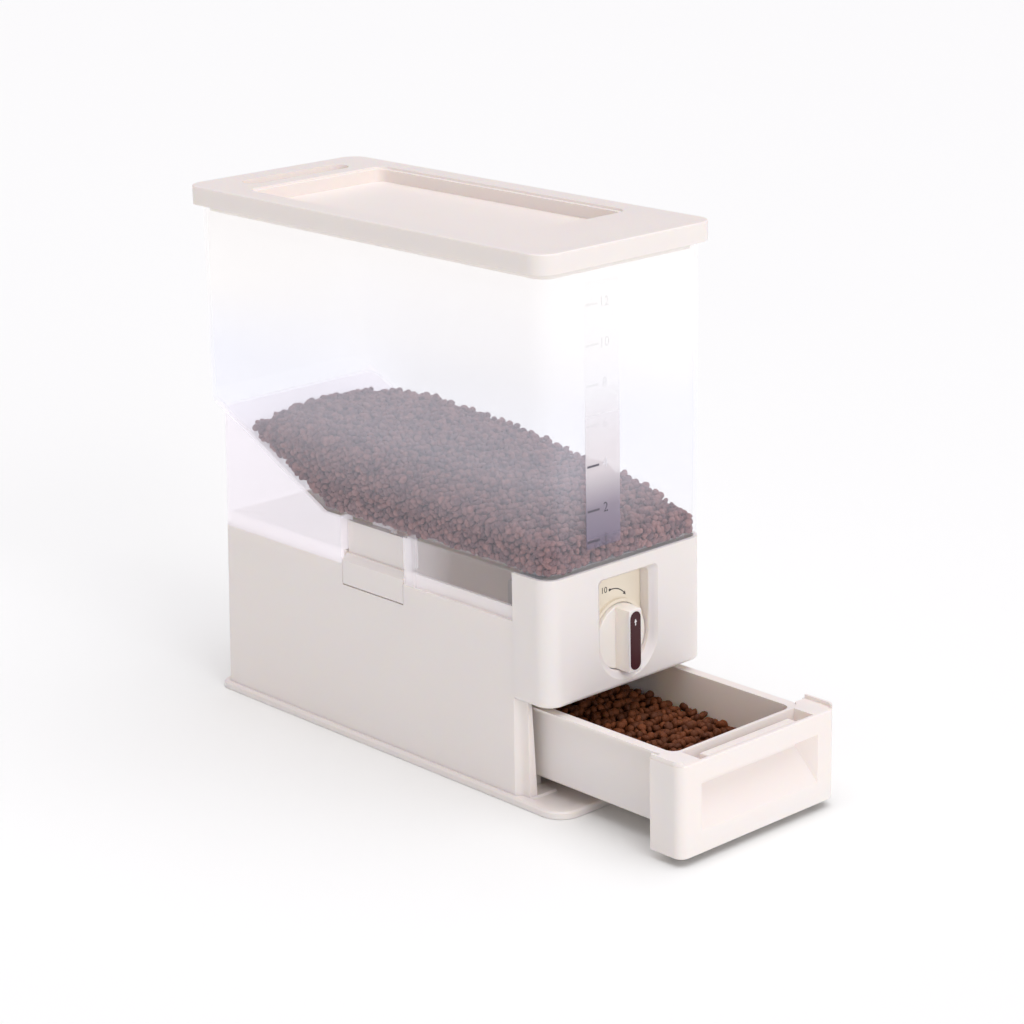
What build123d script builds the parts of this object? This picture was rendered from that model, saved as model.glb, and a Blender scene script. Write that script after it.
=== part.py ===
"""Pet food storage container: a clear hopper on an opaque base, with a metering dial and a drawer.

Millimetres. +Z is up and the floor is z = 0. The drawer and the dial face -Y, and +X is to the
right of someone who looks at the front. The origin is on the floor, under the middle of the lid.
The drawer is drawn partly out of its bay, the dial upright, the lid on and both latches home.
"""

import os
from math import radians, tan

from build123d import *

# Overall sizes
body_width = 142.0  # across the base walls at the seam with the hopper
front_y = -175.2  # front face of the dial cover
back_y = 165.0  # back face of the base wall at the seam
height = 370.0  # top of the lid

# Walls and fits
wall = 2.6  # opaque mouldings
side_wall = 2.8  # sides of the base
clear_wall = 2.4  # hopper
hand_gap = 0.3  # between pieces put together by hand
run_gap = 0.05  # radial, between a shaft or pin and its bearing
join = 0.1  # overlap between blocks that are one moulding
past = 1.0  # cuts reach this far past what they cut

# Base plate
plate_t = 5.0
plate_flange = 4.0  # stands out beyond the side walls
plate_toe = 11.8  # stands out beyond the cover
plate_heel = 8.0  # stands out beyond the back wall at the seam
plate_front_r = 16.0
plate_back_r = 9.0
plate_edge = 1.2
panel_drop = 1.4  # recessed panel in the upper face
panel_rim = 7.0
panel_taper = 35.0
panel_gap = 0.5  # from the front panel to the pillars
well_side = 1.0  # recess under the drawer, from the rails
well_front = 12.0  # ahead of the pillars
well_back = 40.0  # ahead of the back wall
well_r = 5.0

# Base walls
base_flare = 0.6  # each side wall leans out this much from the seam to the plate
back_flare = 5.0
base_corner_r = 9.0
bay_top = 72.0  # bottom of the cover, over the drawer
pillar_back_off = 24.2  # the pillars beside the drawer stand this far behind the cover's face
pillar_depth = 12.0
pillar_step = 3.0  # and this far in from the side walls
pillar_narrow = 3.2  # width at the top of the drawer bay
pillar_wide = 6.8  # width at the plate
pillar_block = 8.0  # width above the drawer bay
pillar_head = 3.5  # from the bay's top to the wider block
step_length = 9.0  # smooth step from the side wall to the pillar
step_start = 13.5  # behind the pillar's face
upstand_h = 9.0  # rim that locates the skirt of the hopper
upstand_t = 2.3
skirt_drop = 36.0  # from the hopper's flat floor down to the shoulder that its skirt stands on
shoulder_depth = 10.0
ear_in = 3.6  # ears that hold the latch pins, about the pin
ear_half_h = 5.5
latch_room = 12.0  # depth of the latch slot, from the inside of the wall

# Dial cover
cover_reach = 33.2  # length of its sides, front to back
cover_lap = 0.7  # stands out beyond the base walls
cover_corner_r = 12.0
cover_edge_r = 3.0  # round its bottom edge
cover_screw_edge = 11.0  # from the cover's bottom and top edges

# Hopper
tub_lap = 0.9  # stands out beyond the base walls
tub_front_lap = 0.7  # stands out beyond the cover
tub_back_lap = 11.8  # stands out behind the base
tub_corner_r = 14.0
tub_side_draft = 0.6
tub_front_draft = 1.0
slope_run = 117.5  # the sloping floor starts this far ahead of the back of the base
slope_angle = 26.0
skirt_lap = 0.1  # stands out beyond the base walls
skirt_front_gap = 0.5  # behind the cover
skirt_back_draft = 4.6
skirt_height = 110.0
lip_out = 1.7
lip_h = 3.5
notch_front_gap = 2.0  # finger notch in the skirt, round the latch
notch_back_gap = 0.6
notch_return = 9.0  # depth of the walls at the notch's ends
notch_return_t = 1.6

# Funnel under the floor, down to the metering drum
throat_x = 20.0
throat_end = 2.0  # the throat is this much shorter than the drum at each end
funnel_h = 26.0  # from the bottom of the spout to the flat floor
spout_h = 4.0
funnel_side = 9.9  # floor left beside the funnel, from the outside of the tub
funnel_front_lean = 5.0
funnel_back_lean = 53.0
funnel_r = 6.0
spout_r = 1.0
gasket_t = 3.0
gasket_rim = 4.0

# Level strip on the front of the hopper
gauge_side = 33.9  # from the left side of the hopper
gauge_width = 30.0
gauge_rise = 12.0  # above the flat floor
gauge_top_margin = 20.0
gauge_t = 0.5
gauge_gap = 0.02

# Lid
lid_over = 6.2  # stands out beyond the base walls
lid_over_end = 4.5  # stands out beyond the hopper's rim, front and back
lid_skirt = 13.0
lid_top_t = 3.0
lid_corner_r = 14.0
lid_edge = 1.0
tray_side = 16.2  # from the lid's side to the tray
tray_front_margin = 63.0
tray_back_margin = 49.0
tray_depth = 10.0
tray_corner_r = 10.0
tray_step = 3.0
tray_step_depth = 1.5
tray_step_taper = 20.0
tray_taper = 4.0
slot_length = 91.0
slot_width = 17.5
slot_margin = 28.3  # from the lid's back edge to the middle of the slot
slot_depth = 9.0
slot_taper = 3.0
plug_h = 15.0  # rib under the lid that carries the seal
plug_t = 2.0
seal_t = 2.1
seal_h = 3.0
seal_rise = 4.0

# Dial
dial_r = 21.9
dial_face_in = 6.7  # the disc's face lies this far inside the cover's face
dial_disc_t = 4.5
dial_edge_r = 0.8
bar_width = 11.0
bar_proud = 6.3  # the grip bar stands out of the cover's face
bar_root = 1.0  # and starts this deep in the disc
bar_end_gap = 0.2
bar_edge_r = 0.7
inlay_side = 0.8  # bar left beside the inlay
inlay_end = 1.9  # and beyond its ends
inlay_t = 1.2
inlay_proud = 0.1
stem_r = 6.0
collar_step = 2.0  # round the stem
collar_flat_in = 0.6
collar_gap = 1.3  # behind the frame
collar_length = 4.3
shaft_r = 4.0
shaft_in = 4.0  # the shaft starts this far behind the disc, in the hollow stem
shaft_tail = 6.0
shaft_stub = 1.5  # bare end of the shaft behind the bush
spring_t = 0.6
spring_x = 16.0
spring_gap = 0.5
spring_post_r = 2.4
dial_screw_bite = 6.0

# Metering drum
drum_r = 27.0
drum_length = 52.0
drum_gap = 0.8
drum_end_gap = 0.5
housing_gap = 2.1  # behind the collar
housing_floor = 1.0  # least thickness under the drum
housing_roof = 0.5  # and over it
drum_pocket_x = 15.0
drum_pocket_floor = 9.0
drum_end_wall = 3.0
bush_t = 3.0
bush_boss_t = 2.0
wiper_t = 1.9
wiper_gap = 0.76  # from the wiper's lower edge to the drum
foot_reach = 11.6
foot_length = 10.0
foot_t = 3.5

# Dial window in the cover
window_rise = 45.8  # top of the window above the dial's axis
window_sill = 4.2  # least height of the cover under the window
dish_width = 5.1
dish_depth = 4.0
window_corner_r = 4.0
window_flange_t = 2.4
dial_plate_gap = 0.6  # behind the disc of the dial
dial_plate_t = 2.0
ring_gap = 0.5  # round the disc of the dial
ring_t = 2.2
ring_h = 2.3
stem_hole_gap = 1.0  # round the collar, which passes through the plate
dial_plate_lap = 2.0  # past the window, at the sides and the top

# Frame behind the dial plate
frame_t = 2.6
deck_margin = 8.7  # behind the drum housing
ledge_t = 3.0
ledge_in = 3.6
gusset = 32.0
gusset_gap = 1.5  # beside the feet of the drum housing
screw_gap = 8.5  # from a gusset to the cover screws
standoff_r = 3.6
standoff_end = 0.8
bulkhead_side = 2.5  # from the bulkhead to the cover's walls
bulkhead_drop = 2.0
pilot_boss_h = 2.3

# Drawer
drawer_out = 114.0  # how far the drawer is drawn out
fascia_depth = 27.0  # over the wings
wing_past = 1.0  # the wings reach this far past the pillars' faces
fascia_lap = 0.8  # stands out beyond the base walls
fascia_lift = 0.5  # above the base plate
fascia_gap = 5.0  # below the cover
fascia_corner_r = 7.0
fascia_front = 21.0  # from the face to the front wall of the box
fascia_edge_r = 0.8
fascia_web = 2.0
box_length = 222.0
box_lift = 9.3  # above the base plate
box_gap = 6.0  # from the rim to the cover
box_side_gap = 8.0  # from the pillars to the wall of the box, at the rim
box_draft = 2.0
box_wall = 2.2
box_corner_r = 9.0
box_foot_r = 8.0
box_floor_r = 3.0
rim_lip = 5.0
rim_lip_h = 1.6
rim_gap = 0.2  # between the rim and the wings
slide_gap = 0.3
grip_side = 17.8  # from the sides of the fascia
grip_rise = 15.0  # above its bottom edge
grip_drop = 13.5  # below its top edge
grip_depth = 12.3
grip_end_lean = 8.0
grip_roof_lean = 6.5
grip_deep_h = 2.5
grip_wall = 3.0
channel_side = 4.8  # from the walls of the box
channel_rise = 3.5  # above the grip
channel_rib_t = 7.0
channel_rib_drop = 2.2
channel_rib_end = 11.0  # from the ends of the channel
channel_rib_r = 1.5
corner_lip_h = 2.6
corner_lip_t = 1.6
rail_shelf = 21.9  # reaches this far in from the side of the rail
guide_gap = 1.2  # between the guide and the box's wall where they are nearest
rail_height = 25.0
rail_gap = 1.0  # behind the pillars
rail_stop_t = 5.0
rail_stop_h = 35.0

# Latches
latch_front = -33.0
latch_back = 30.0
latch_gap = 0.4
latch_drop = 14.0  # bottom of the tab, below the seam
latch_rise = 7.0  # top of the tab, above it
latch_bevel = 4.0
latch_press_gap = 1.0
latch_block_h = 8.0
latch_pivot_rise = 2.0
latch_pivot_in = 4.8  # from the outer face of the latch to its pivot
latch_barrel_r = 3.2
latch_arm_gap = 3.6  # under the hopper's floor
latch_arm_in = 6.0  # from the outer face of the base to the arm
latch_arm_t = 2.5
latch_nose = 3.0
latch_nose_h = 4.0
latch_nose_y = 9.0
catch_h = 3.2
catch_web = 2.5
catch_bite = 2.5
catch_gap = 0.5  # from the arm to the catch
catch_clear = 1.0  # behind the nose
catch_over = 2.0  # longer than the nose at each end
pin_r = 1.5
pin_seat = 6.0

# Screws
screw_r = 1.25
screw_clear_r = 1.6
screw_head_r = 3.0
screw_head_h = 2.0
boss_r = 4.0
boss_bite = 0.5  # a boss runs into the wall beside it
head_gap = 0.2
hole_spare = 1.0  # holes are this much deeper than their screws
plate_screw_length = 10.0
heel_screw_in = 2.0  # ahead of the back of the base at the seam
heel_boss_h = 20.0
rail_screw_in = 40.0  # from the ends of a rail
frame_screw_low = 14.0  # above the cover's bottom edge
frame_screw_high = 6.0  # below the shoulder
cover_hole_depth = 8.0

# Places that follow from the sizes above
half_w = body_width / 2
ring_r = dial_r + ring_gap
window_x = ring_r + dish_width
inlay_width = bar_width - 2 * inlay_side
inlay_length = 2 * (dial_r - inlay_end)
collar_r = stem_r + collar_step
collar_flat = collar_r - collar_flat_in
stem_hole_r = collar_r + stem_hole_gap
bush_r = shaft_r + bush_t
wiper_low = (drum_r ** 2 - (throat_x - wiper_t) ** 2) ** 0.5 + wiper_gap
deck_low = bay_top + hand_gap
deck_high = deck_low + frame_t
dial_z_for_drum = deck_high + housing_floor + drum_gap + drum_r
dial_z_for_window = bay_top + window_sill + window_x
dial_z = max(dial_z_for_drum, dial_z_for_window)
window_top = dial_z + window_rise
housing_top = dial_z + drum_r + drum_gap + housing_roof
throat_z = housing_top + gasket_t
floor_z = throat_z + funnel_h
seam_z = floor_z - skirt_drop
inner_x = half_w - side_wall
pillar_x = half_w - pillar_step
pillar_front = front_y + pillar_back_off
pillar_rear = pillar_front + pillar_depth
plate_x = half_w + plate_flange
plate_front = front_y - plate_toe
plate_back = back_y + plate_heel
cover_x = half_w + cover_lap
cover_back = front_y + cover_reach
hopper_under = floor_z - clear_wall
floor_mid = floor_z - clear_wall / 2
cover_top = hopper_under - hand_gap
tub_x = half_w + tub_lap
tub_front = front_y - tub_front_lap
tub_back = back_y + tub_back_lap
tub_top_x = tub_x + tub_side_draft
tub_top_front = tub_front - tub_front_draft
hopper_top = height - lid_top_t - hand_gap
funnel_x = tub_x - funnel_side
notch_front = latch_front - notch_front_gap
notch_back = latch_back + notch_back_gap
gauge_low_x = gauge_side - tub_x
gauge_high_x = gauge_low_x + gauge_width
gauge_low_z = floor_z + gauge_rise
slope_foot_y = back_y - slope_run
slope_rise = tan(radians(slope_angle))
skirt_x = half_w + skirt_lap
skirt_in = skirt_x - clear_wall
skirt_front = cover_back + skirt_front_gap
skirt_back = back_y - hand_gap
upstand_out = skirt_in - hand_gap
upstand_back = skirt_back - skirt_back_draft * upstand_h / skirt_height - clear_wall - hand_gap
dial_face = front_y + dial_face_in
dial_back = dial_face + dial_disc_t
bar_face = front_y - bar_proud
plate_face = dial_back + dial_plate_gap
ring_front = plate_face - ring_h
frame_front = plate_face + dial_plate_t
frame_back = frame_front + frame_t
collar_front = frame_back + collar_gap
collar_back = collar_front + collar_length
spring_low = dial_z + collar_r + spring_gap
spring_high = spring_low + spring_t
housing_x = drum_r + drum_gap + wall
housing_front = collar_back + housing_gap
drum_front = housing_front + wall + drum_end_gap
drum_back = drum_front + drum_length
housing_back = drum_back + drum_end_gap + wall
throat_front = drum_front + throat_end
throat_back = drum_back - throat_end
funnel_back = throat_back + funnel_back_lean
deck_back = housing_back + deck_margin
gusset_x = housing_x + foot_reach + gusset_gap
cover_screw_x = gusset_x + screw_gap
shaft_front = dial_back + shaft_in
shaft_back = housing_back + shaft_tail
bush_back = shaft_back - shaft_stub
fascia_x = half_w + fascia_lap
fascia_low = plate_t + fascia_lift
fascia_top = bay_top - fascia_gap
fascia_y = pillar_front - hand_gap + wing_past - fascia_depth - drawer_out
wing_back = fascia_y + fascia_depth
box_front = fascia_y + fascia_front
box_back = box_front + box_length
box_floor = plate_t + box_lift
box_rim = bay_top - box_gap
box_x = pillar_x - pillar_narrow - box_side_gap
grip_x = fascia_x - grip_side
grip_low = fascia_low + grip_rise
grip_high = fascia_top - grip_drop
grip_deep_x = grip_x - grip_end_lean
grip_deep_high = grip_high - grip_roof_lean
grip_deep_low = grip_deep_high - grip_deep_h
channel_x = box_x - channel_side
channel_floor = grip_high + channel_rise
rail_top = box_floor - slide_gap
guide_x = box_x - box_draft + guide_gap
rail_x = inner_x - hand_gap
rail_front = pillar_rear + rail_gap
rail_stop = box_back + drawer_out + rim_lip + hand_gap
rail_end = rail_stop + rail_stop_t
lid_x = half_w + lid_over
lid_front = tub_top_front - lid_over_end
lid_back = tub_back + lid_over_end
tray_front = lid_front + tray_front_margin
tray_back = lid_back - tray_back_margin
slot_y = lid_back - slot_margin
latch_low = seam_z - latch_drop
latch_high = seam_z + latch_rise
latch_pivot_z = seam_z + latch_pivot_rise
latch_arm_top = hopper_under - latch_arm_gap
latch_pivot_x = half_w - latch_pivot_in
latch_arm_x = half_w - latch_arm_in
plate_hole_top = screw_head_h + plate_screw_length + hole_spare
sides = (-1, 1)

# Where the screws go
foot_screws = [(s * (pillar_x - pillar_wide / 2), pillar_front + pillar_depth / 2) for s in sides]
heel_screws = [(s * (inner_x - boss_r + boss_bite), back_y - heel_screw_in) for s in sides]
rail_screws = [(s * (guide_x + rail_x) / 2, y) for s in sides
               for y in (rail_front + rail_screw_in, rail_end - rail_screw_in)]
frame_screws = [(s * (pillar_x - pillar_block / 2), z) for s in sides
                for z in (bay_top + frame_screw_low, seam_z - shoulder_depth - frame_screw_high)]
cover_screws = [(s * cover_screw_x, z) for s in sides
                for z in (bay_top + cover_screw_edge, cover_top - cover_screw_edge)]
drum_feet = [(s, y) for s in sides
             for y in (housing_front + foot_length / 2, housing_back - foot_length / 2)]
drum_screws = [(s * (housing_x + foot_reach / 2), y) for s, y in drum_feet]


def slope_z(y):
    """Height of the upper face of the sloping floor."""
    return floor_z + (y - slope_foot_y) * slope_rise


def all_round(x, y_low, y_high, radius):
    """Footprint with four rounded corners."""
    with Locations((0, (y_low + y_high) / 2)):
        RectangleRounded(2 * x, y_high - y_low, radius)


def open_front(x, y_low, y_high, radius, mode=Mode.ADD):
    """Footprint whose two back corners are rounded."""
    with BuildSketch(mode=Mode.PRIVATE) as face:
        with Locations((0, (y_low + y_high) / 2)):
            Rectangle(2 * x, y_high - y_low)
        fillet(face.vertices().group_by(Axis.Y)[-1], radius)
    add(face.sketch, mode=mode)


def open_back(x, y_low, y_high, radius, mode=Mode.ADD):
    """Footprint whose two front corners are rounded."""
    with BuildSketch(mode=Mode.PRIVATE) as face:
        with Locations((0, (y_low + y_high) / 2)):
            Rectangle(2 * x, y_high - y_low)
        fillet(face.vertices().group_by(Axis.Y)[0], radius)
    add(face.sketch, mode=mode)


def slab(x_low, x_high, y_low, y_high, z_low, z_high, mode=Mode.ADD):
    """Box between two corners."""
    with Locations(((x_low + x_high) / 2, (y_low + y_high) / 2, (z_low + z_high) / 2)):
        Box(x_high - x_low, y_high - y_low, z_high - z_low, mode=mode)


def side_slabs(x_low, x_high, y_low, y_high, z_low, z_high, mode=Mode.ADD):
    """The same box on the left and on the right."""
    slab(x_low, x_high, y_low, y_high, z_low, z_high, mode)
    slab(-x_high, -x_low, y_low, y_high, z_low, z_high, mode)


def rod(x, z, y_low, y_high, radius, mode=Mode.ADD):
    """Cylinder along Y."""
    with Locations(Location((x, (y_low + y_high) / 2, z), (90, 0, 0))):
        Cylinder(radius, y_high - y_low, mode=mode)


def post(x, y, z_low, z_high, radius, mode=Mode.ADD):
    """Cylinder along Z."""
    with Locations((x, y, (z_low + z_high) / 2)):
        Cylinder(radius, z_high - z_low, mode=mode)


def pan_screws(seats, tip, length):
    """Screws with their heads on the seats and their tips in the direction of tip."""
    for seat in seats:
        with Locations(Plane(origin=seat, z_dir=-Vector(*tip))):
            Cylinder(screw_head_r, screw_head_h, align=(Align.CENTER, Align.CENTER, Align.MIN))
            Cylinder(screw_r, length, align=(Align.CENTER, Align.CENTER, Align.MAX))


def facing(y):
    """Plane that faces the front at y: its x is X and its y is Z."""
    return Plane.XZ.offset(-y)


def finish(piece, name):
    """Label a piece and write it."""
    piece.label = name
    export_step(piece, f"parts/{name}.step")


os.makedirs("parts", exist_ok=True)

# Base plate: the flat foot, with a toe that shows in front of the drawer bay
with BuildPart() as base_plate:
    with BuildSketch():
        with Locations((0, (plate_front + plate_back) / 2)):
            Rectangle(2 * plate_x, plate_back - plate_front)
        fillet(vertices().group_by(Axis.Y)[0], plate_front_r)
        fillet(vertices().group_by(Axis.Y)[-1], plate_back_r)
    extrude(amount=plate_t)
    chamfer(edges().group_by(Axis.Z)[-1], plate_edge)
    with BuildSketch(Plane.XY.offset(plate_t)):
        open_back(plate_x - panel_rim, plate_front + panel_rim, pillar_front - panel_gap,
                  plate_front_r - panel_rim)
    extrude(amount=-panel_drop, taper=panel_taper, mode=Mode.SUBTRACT)
    with BuildSketch(Plane.XY.offset(plate_t)):
        all_round(rail_x - rail_shelf - well_side, pillar_front - well_front, back_y - well_back, well_r)
    extrude(amount=-panel_drop, mode=Mode.SUBTRACT)
    for x, y in foot_screws + heel_screws + rail_screws:
        post(x, y, 0, plate_t, screw_clear_r, Mode.SUBTRACT)
        post(x, y, 0, screw_head_h, screw_head_r + head_gap, Mode.SUBTRACT)
finish(base_plate.part, "base_plate")

with BuildPart() as base_plate_screws:
    plate_seats = [(x, y, screw_head_h) for x, y in foot_screws + heel_screws + rail_screws]
    pan_screws(plate_seats, (0, 0, 1), plate_screw_length)
finish(base_plate_screws.part, "base_plate_screws")

# Base housing: three walls, open to the front and the top, with a pillar each side of the drawer
# bay, a shoulder and an upstand for the hopper, and a slot in each side for a latch
slot_front = latch_front - latch_gap
slot_back = latch_back + latch_gap
with BuildPart() as base_housing:
    with BuildSketch(Plane.XY.offset(plate_t)):
        open_front(half_w + base_flare, pillar_front, back_y + back_flare, base_corner_r)
    with BuildSketch(Plane.XY.offset(seam_z)):
        open_front(half_w, pillar_front, back_y, base_corner_r)
    loft(ruled=True)
    with BuildSketch(Plane.XY.offset(plate_t)):
        open_front(inner_x, pillar_front, back_y + back_flare - wall, base_corner_r - wall)
    with BuildSketch(Plane.XY.offset(seam_z)):
        open_front(inner_x, pillar_front, back_y - wall, base_corner_r - wall)
    loft(ruled=True, mode=Mode.SUBTRACT)
    # Pillars, which widen towards the plate
    with BuildSketch(facing(pillar_rear)):
        with BuildLine():
            Polyline((inner_x + join, plate_t), (pillar_x - pillar_wide, plate_t),
                     (pillar_x - pillar_narrow, bay_top),
                     (pillar_x - pillar_narrow, bay_top + pillar_head),
                     (pillar_x - pillar_block, bay_top + pillar_head),
                     (pillar_x - pillar_block, seam_z), (inner_x + join, seam_z), close=True)
        make_face()
        mirror(about=Plane.YZ)
    extrude(amount=pillar_depth)
    # Smooth step from the side walls to the pillars below the cover
    step_y = pillar_front + step_start
    step_out = half_w + base_flare + past
    with BuildSketch(Plane.XY.offset(plate_t)):
        with BuildLine():
            middle = step_y - step_length / 2
            Bezier((pillar_x, step_y - step_length), (pillar_x, middle), (step_out, middle),
                   (step_out, step_y))
            Line((step_out, step_y), (step_out, pillar_front - past))
            Line((step_out, pillar_front - past), (pillar_x, pillar_front - past))
            Line((pillar_x, pillar_front - past), (pillar_x, step_y - step_length))
        make_face()
        mirror(about=Plane.YZ)
    extrude(amount=bay_top - plate_t, mode=Mode.SUBTRACT)
    side_slabs(inner_x, step_out, pillar_front - past, cover_back + hand_gap, bay_top, seam_z,
               Mode.SUBTRACT)
    # Shoulder and upstand
    shoulder_back = back_y - wall + back_flare * shoulder_depth / (seam_z - plate_t) + join
    with BuildSketch(Plane.XY.offset(seam_z - shoulder_depth)):
        open_front(inner_x + join, pillar_rear, shoulder_back, base_corner_r - wall)
        open_front(upstand_out - upstand_t, pillar_rear, upstand_back - upstand_t,
                   base_corner_r - wall - upstand_t, Mode.SUBTRACT)
    extrude(amount=shoulder_depth)
    with BuildSketch(Plane.XY.offset(seam_z)):
        open_front(upstand_out, pillar_rear, upstand_back, base_corner_r - wall)
        open_front(upstand_out - upstand_t, pillar_rear, upstand_back - upstand_t,
                   base_corner_r - wall - upstand_t, Mode.SUBTRACT)
    extrude(amount=upstand_h)
    # Ledges that carry the deck
    side_slabs(inner_x - ledge_in, inner_x + join, pillar_rear, deck_back, deck_low - ledge_t, deck_low)
    # Latch slots and the ears that hold the latch pins
    side_slabs(inner_x - latch_room, step_out, slot_front, slot_back, latch_low - latch_press_gap,
               seam_z + upstand_h + past, Mode.SUBTRACT)
    for y_low, y_high in ((slot_front - pin_seat, slot_front), (slot_back, slot_back + pin_seat)):
        side_slabs(latch_pivot_x - ear_in, upstand_out, y_low, y_high, latch_pivot_z - ear_half_h,
                   latch_pivot_z + ear_half_h)
    for s in sides:
        rod(s * latch_pivot_x, latch_pivot_z, slot_front - pin_seat, slot_back + pin_seat, pin_r,
            Mode.SUBTRACT)
    # Screw holes
    for x, y in heel_screws:
        post(x, y, plate_t, plate_t + heel_boss_h, boss_r)
    for x, y in foot_screws + heel_screws:
        post(x, y, plate_t, plate_hole_top, screw_r, Mode.SUBTRACT)
    for x, z in frame_screws:
        rod(x, z, pillar_front, pillar_rear, screw_clear_r, Mode.SUBTRACT)
finish(base_housing.part, "base_housing")

# Mechanism frame: a bulkhead behind the dial plate and a deck over the drawer
with BuildPart() as mechanism_frame:
    bulkhead_x = cover_x - wall - bulkhead_side
    slab(-bulkhead_x, bulkhead_x, frame_front, frame_back, deck_low, cover_top - bulkhead_drop)
    deck_front_x = pillar_x - pillar_block - hand_gap
    slab(-deck_front_x, deck_front_x, frame_front, pillar_rear + past, deck_low, deck_high)
    slab(-rail_x, rail_x, pillar_rear + hand_gap, deck_back, deck_low, deck_high)
    with BuildSketch(Plane.YZ):
        with BuildLine():
            Polyline((frame_back, deck_high), (frame_back + gusset, deck_high),
                     (frame_back, deck_high + gusset), close=True)
        make_face()
    gusset_blank = extrude(amount=frame_t, mode=Mode.PRIVATE)
    add(gusset_blank.moved(Location((gusset_x, 0, 0))))
    add(gusset_blank.moved(Location((-gusset_x - frame_t, 0, 0))))
    for x, z in frame_screws:
        rod(x, z, frame_back, pillar_front, standoff_r)
        rod(x, z, frame_back + standoff_end, pillar_front, screw_r, Mode.SUBTRACT)
    for x, z in cover_screws:
        rod(x, z, frame_front, frame_back, screw_clear_r, Mode.SUBTRACT)
    for x, y in drum_screws:
        post(x, y, deck_low - pilot_boss_h, deck_low, standoff_r)
        post(x, y, deck_low - pilot_boss_h, deck_high, screw_r, Mode.SUBTRACT)
    for s in sides:
        rod(s * spring_x, (spring_low + spring_high) / 2, frame_back, collar_back, spring_post_r)
    rod(0, dial_z, frame_front, frame_back, stem_hole_r, Mode.SUBTRACT)
    slab(-throat_x, throat_x, throat_front, throat_back, deck_low, deck_high, Mode.SUBTRACT)
    slab(-spring_x, spring_x, frame_back, collar_back, spring_low, spring_high, Mode.SUBTRACT)
finish(mechanism_frame.part, "mechanism_frame")

with BuildPart() as frame_fixings:
    pan_screws([(x, pillar_rear, z) for x, z in frame_screws], (0, -1, 0),
               pillar_rear - frame_back - standoff_end - hole_spare)
finish(frame_fixings.part, "frame_screws")


def window_outline(radius, top):
    """Dial window: straight sides over a half round below the dial's centre."""
    with BuildSketch(mode=Mode.PRIVATE) as outline:
        with Locations((0, (dial_z + top) / 2)):
            Rectangle(2 * radius, top - dial_z)
        fillet(outline.vertices().group_by(Axis.Y)[-1], window_corner_r)
        with Locations((0, dial_z)):
            Circle(radius)
    add(outline.sketch)


# Front cover: wraps the front corners, and its window dishes in to the dial plate
window_in = window_x - dish_width
window_in_top = window_top - dish_width / 2
with BuildPart() as front_cover:
    with BuildSketch(Plane.XY.offset(bay_top)):
        open_back(cover_x, front_y, cover_back, cover_corner_r)
    extrude(amount=cover_top - bay_top)
    fillet(edges().group_by(Axis.Z)[0].sort_by(Axis.Y)[:-1], cover_edge_r)
    with BuildSketch(Plane.XY.offset(bay_top + wall)):
        open_back(cover_x - wall, front_y + wall, cover_back, cover_corner_r - wall)
    extrude(amount=cover_top - bay_top - wall, mode=Mode.SUBTRACT)
    slab(-cover_x + wall, cover_x - wall, frame_front - hand_gap, cover_back, bay_top, bay_top + wall,
         Mode.SUBTRACT)
    cover_mid = front_y + wall / 2
    with BuildSketch(facing(plate_face - hand_gap)):
        window_outline(window_in + window_flange_t, window_in_top + window_flange_t)
    extrude(amount=plate_face - hand_gap - cover_mid)
    for x, z in cover_screws:
        rod(x, z, cover_mid, frame_front, boss_r)
        rod(x, z, frame_front - cover_hole_depth, frame_front, screw_r, Mode.SUBTRACT)
    with BuildSketch(facing(front_y + dish_depth)):
        window_outline(window_in, window_in_top)
    with BuildSketch(facing(front_y)):
        window_outline(window_x, window_top)
    loft(ruled=True, mode=Mode.SUBTRACT)
    with BuildSketch(facing(plate_face)):
        window_outline(window_in, window_in_top)
    extrude(amount=plate_face - front_y - dish_depth + join, mode=Mode.SUBTRACT)
    rod(0, dial_z, ring_front - hand_gap, plate_face, ring_r + ring_t + hand_gap, Mode.SUBTRACT)
finish(front_cover.part, "front_cover")

with BuildPart() as cover_fixings:
    pan_screws([(x, frame_back, z) for x, z in cover_screws], (0, -1, 0),
               frame_t + cover_hole_depth - hole_spare)
finish(cover_fixings.part, "front_cover_screws")

# Dial plate: the yellower plate seen through the window, with a ring round the dial
with BuildPart() as dial_plate:
    dial_plate_x = window_x + dial_plate_lap
    slab(-dial_plate_x, dial_plate_x, plate_face, frame_front, dial_z - window_x,
         window_top + dial_plate_lap)
    rod(0, dial_z, ring_front, plate_face, ring_r + ring_t)
    rod(0, dial_z, ring_front, plate_face, ring_r, Mode.SUBTRACT)
    rod(0, dial_z, plate_face, frame_front, stem_hole_r, Mode.SUBTRACT)
finish(dial_plate.part, "dial_plate")

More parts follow.
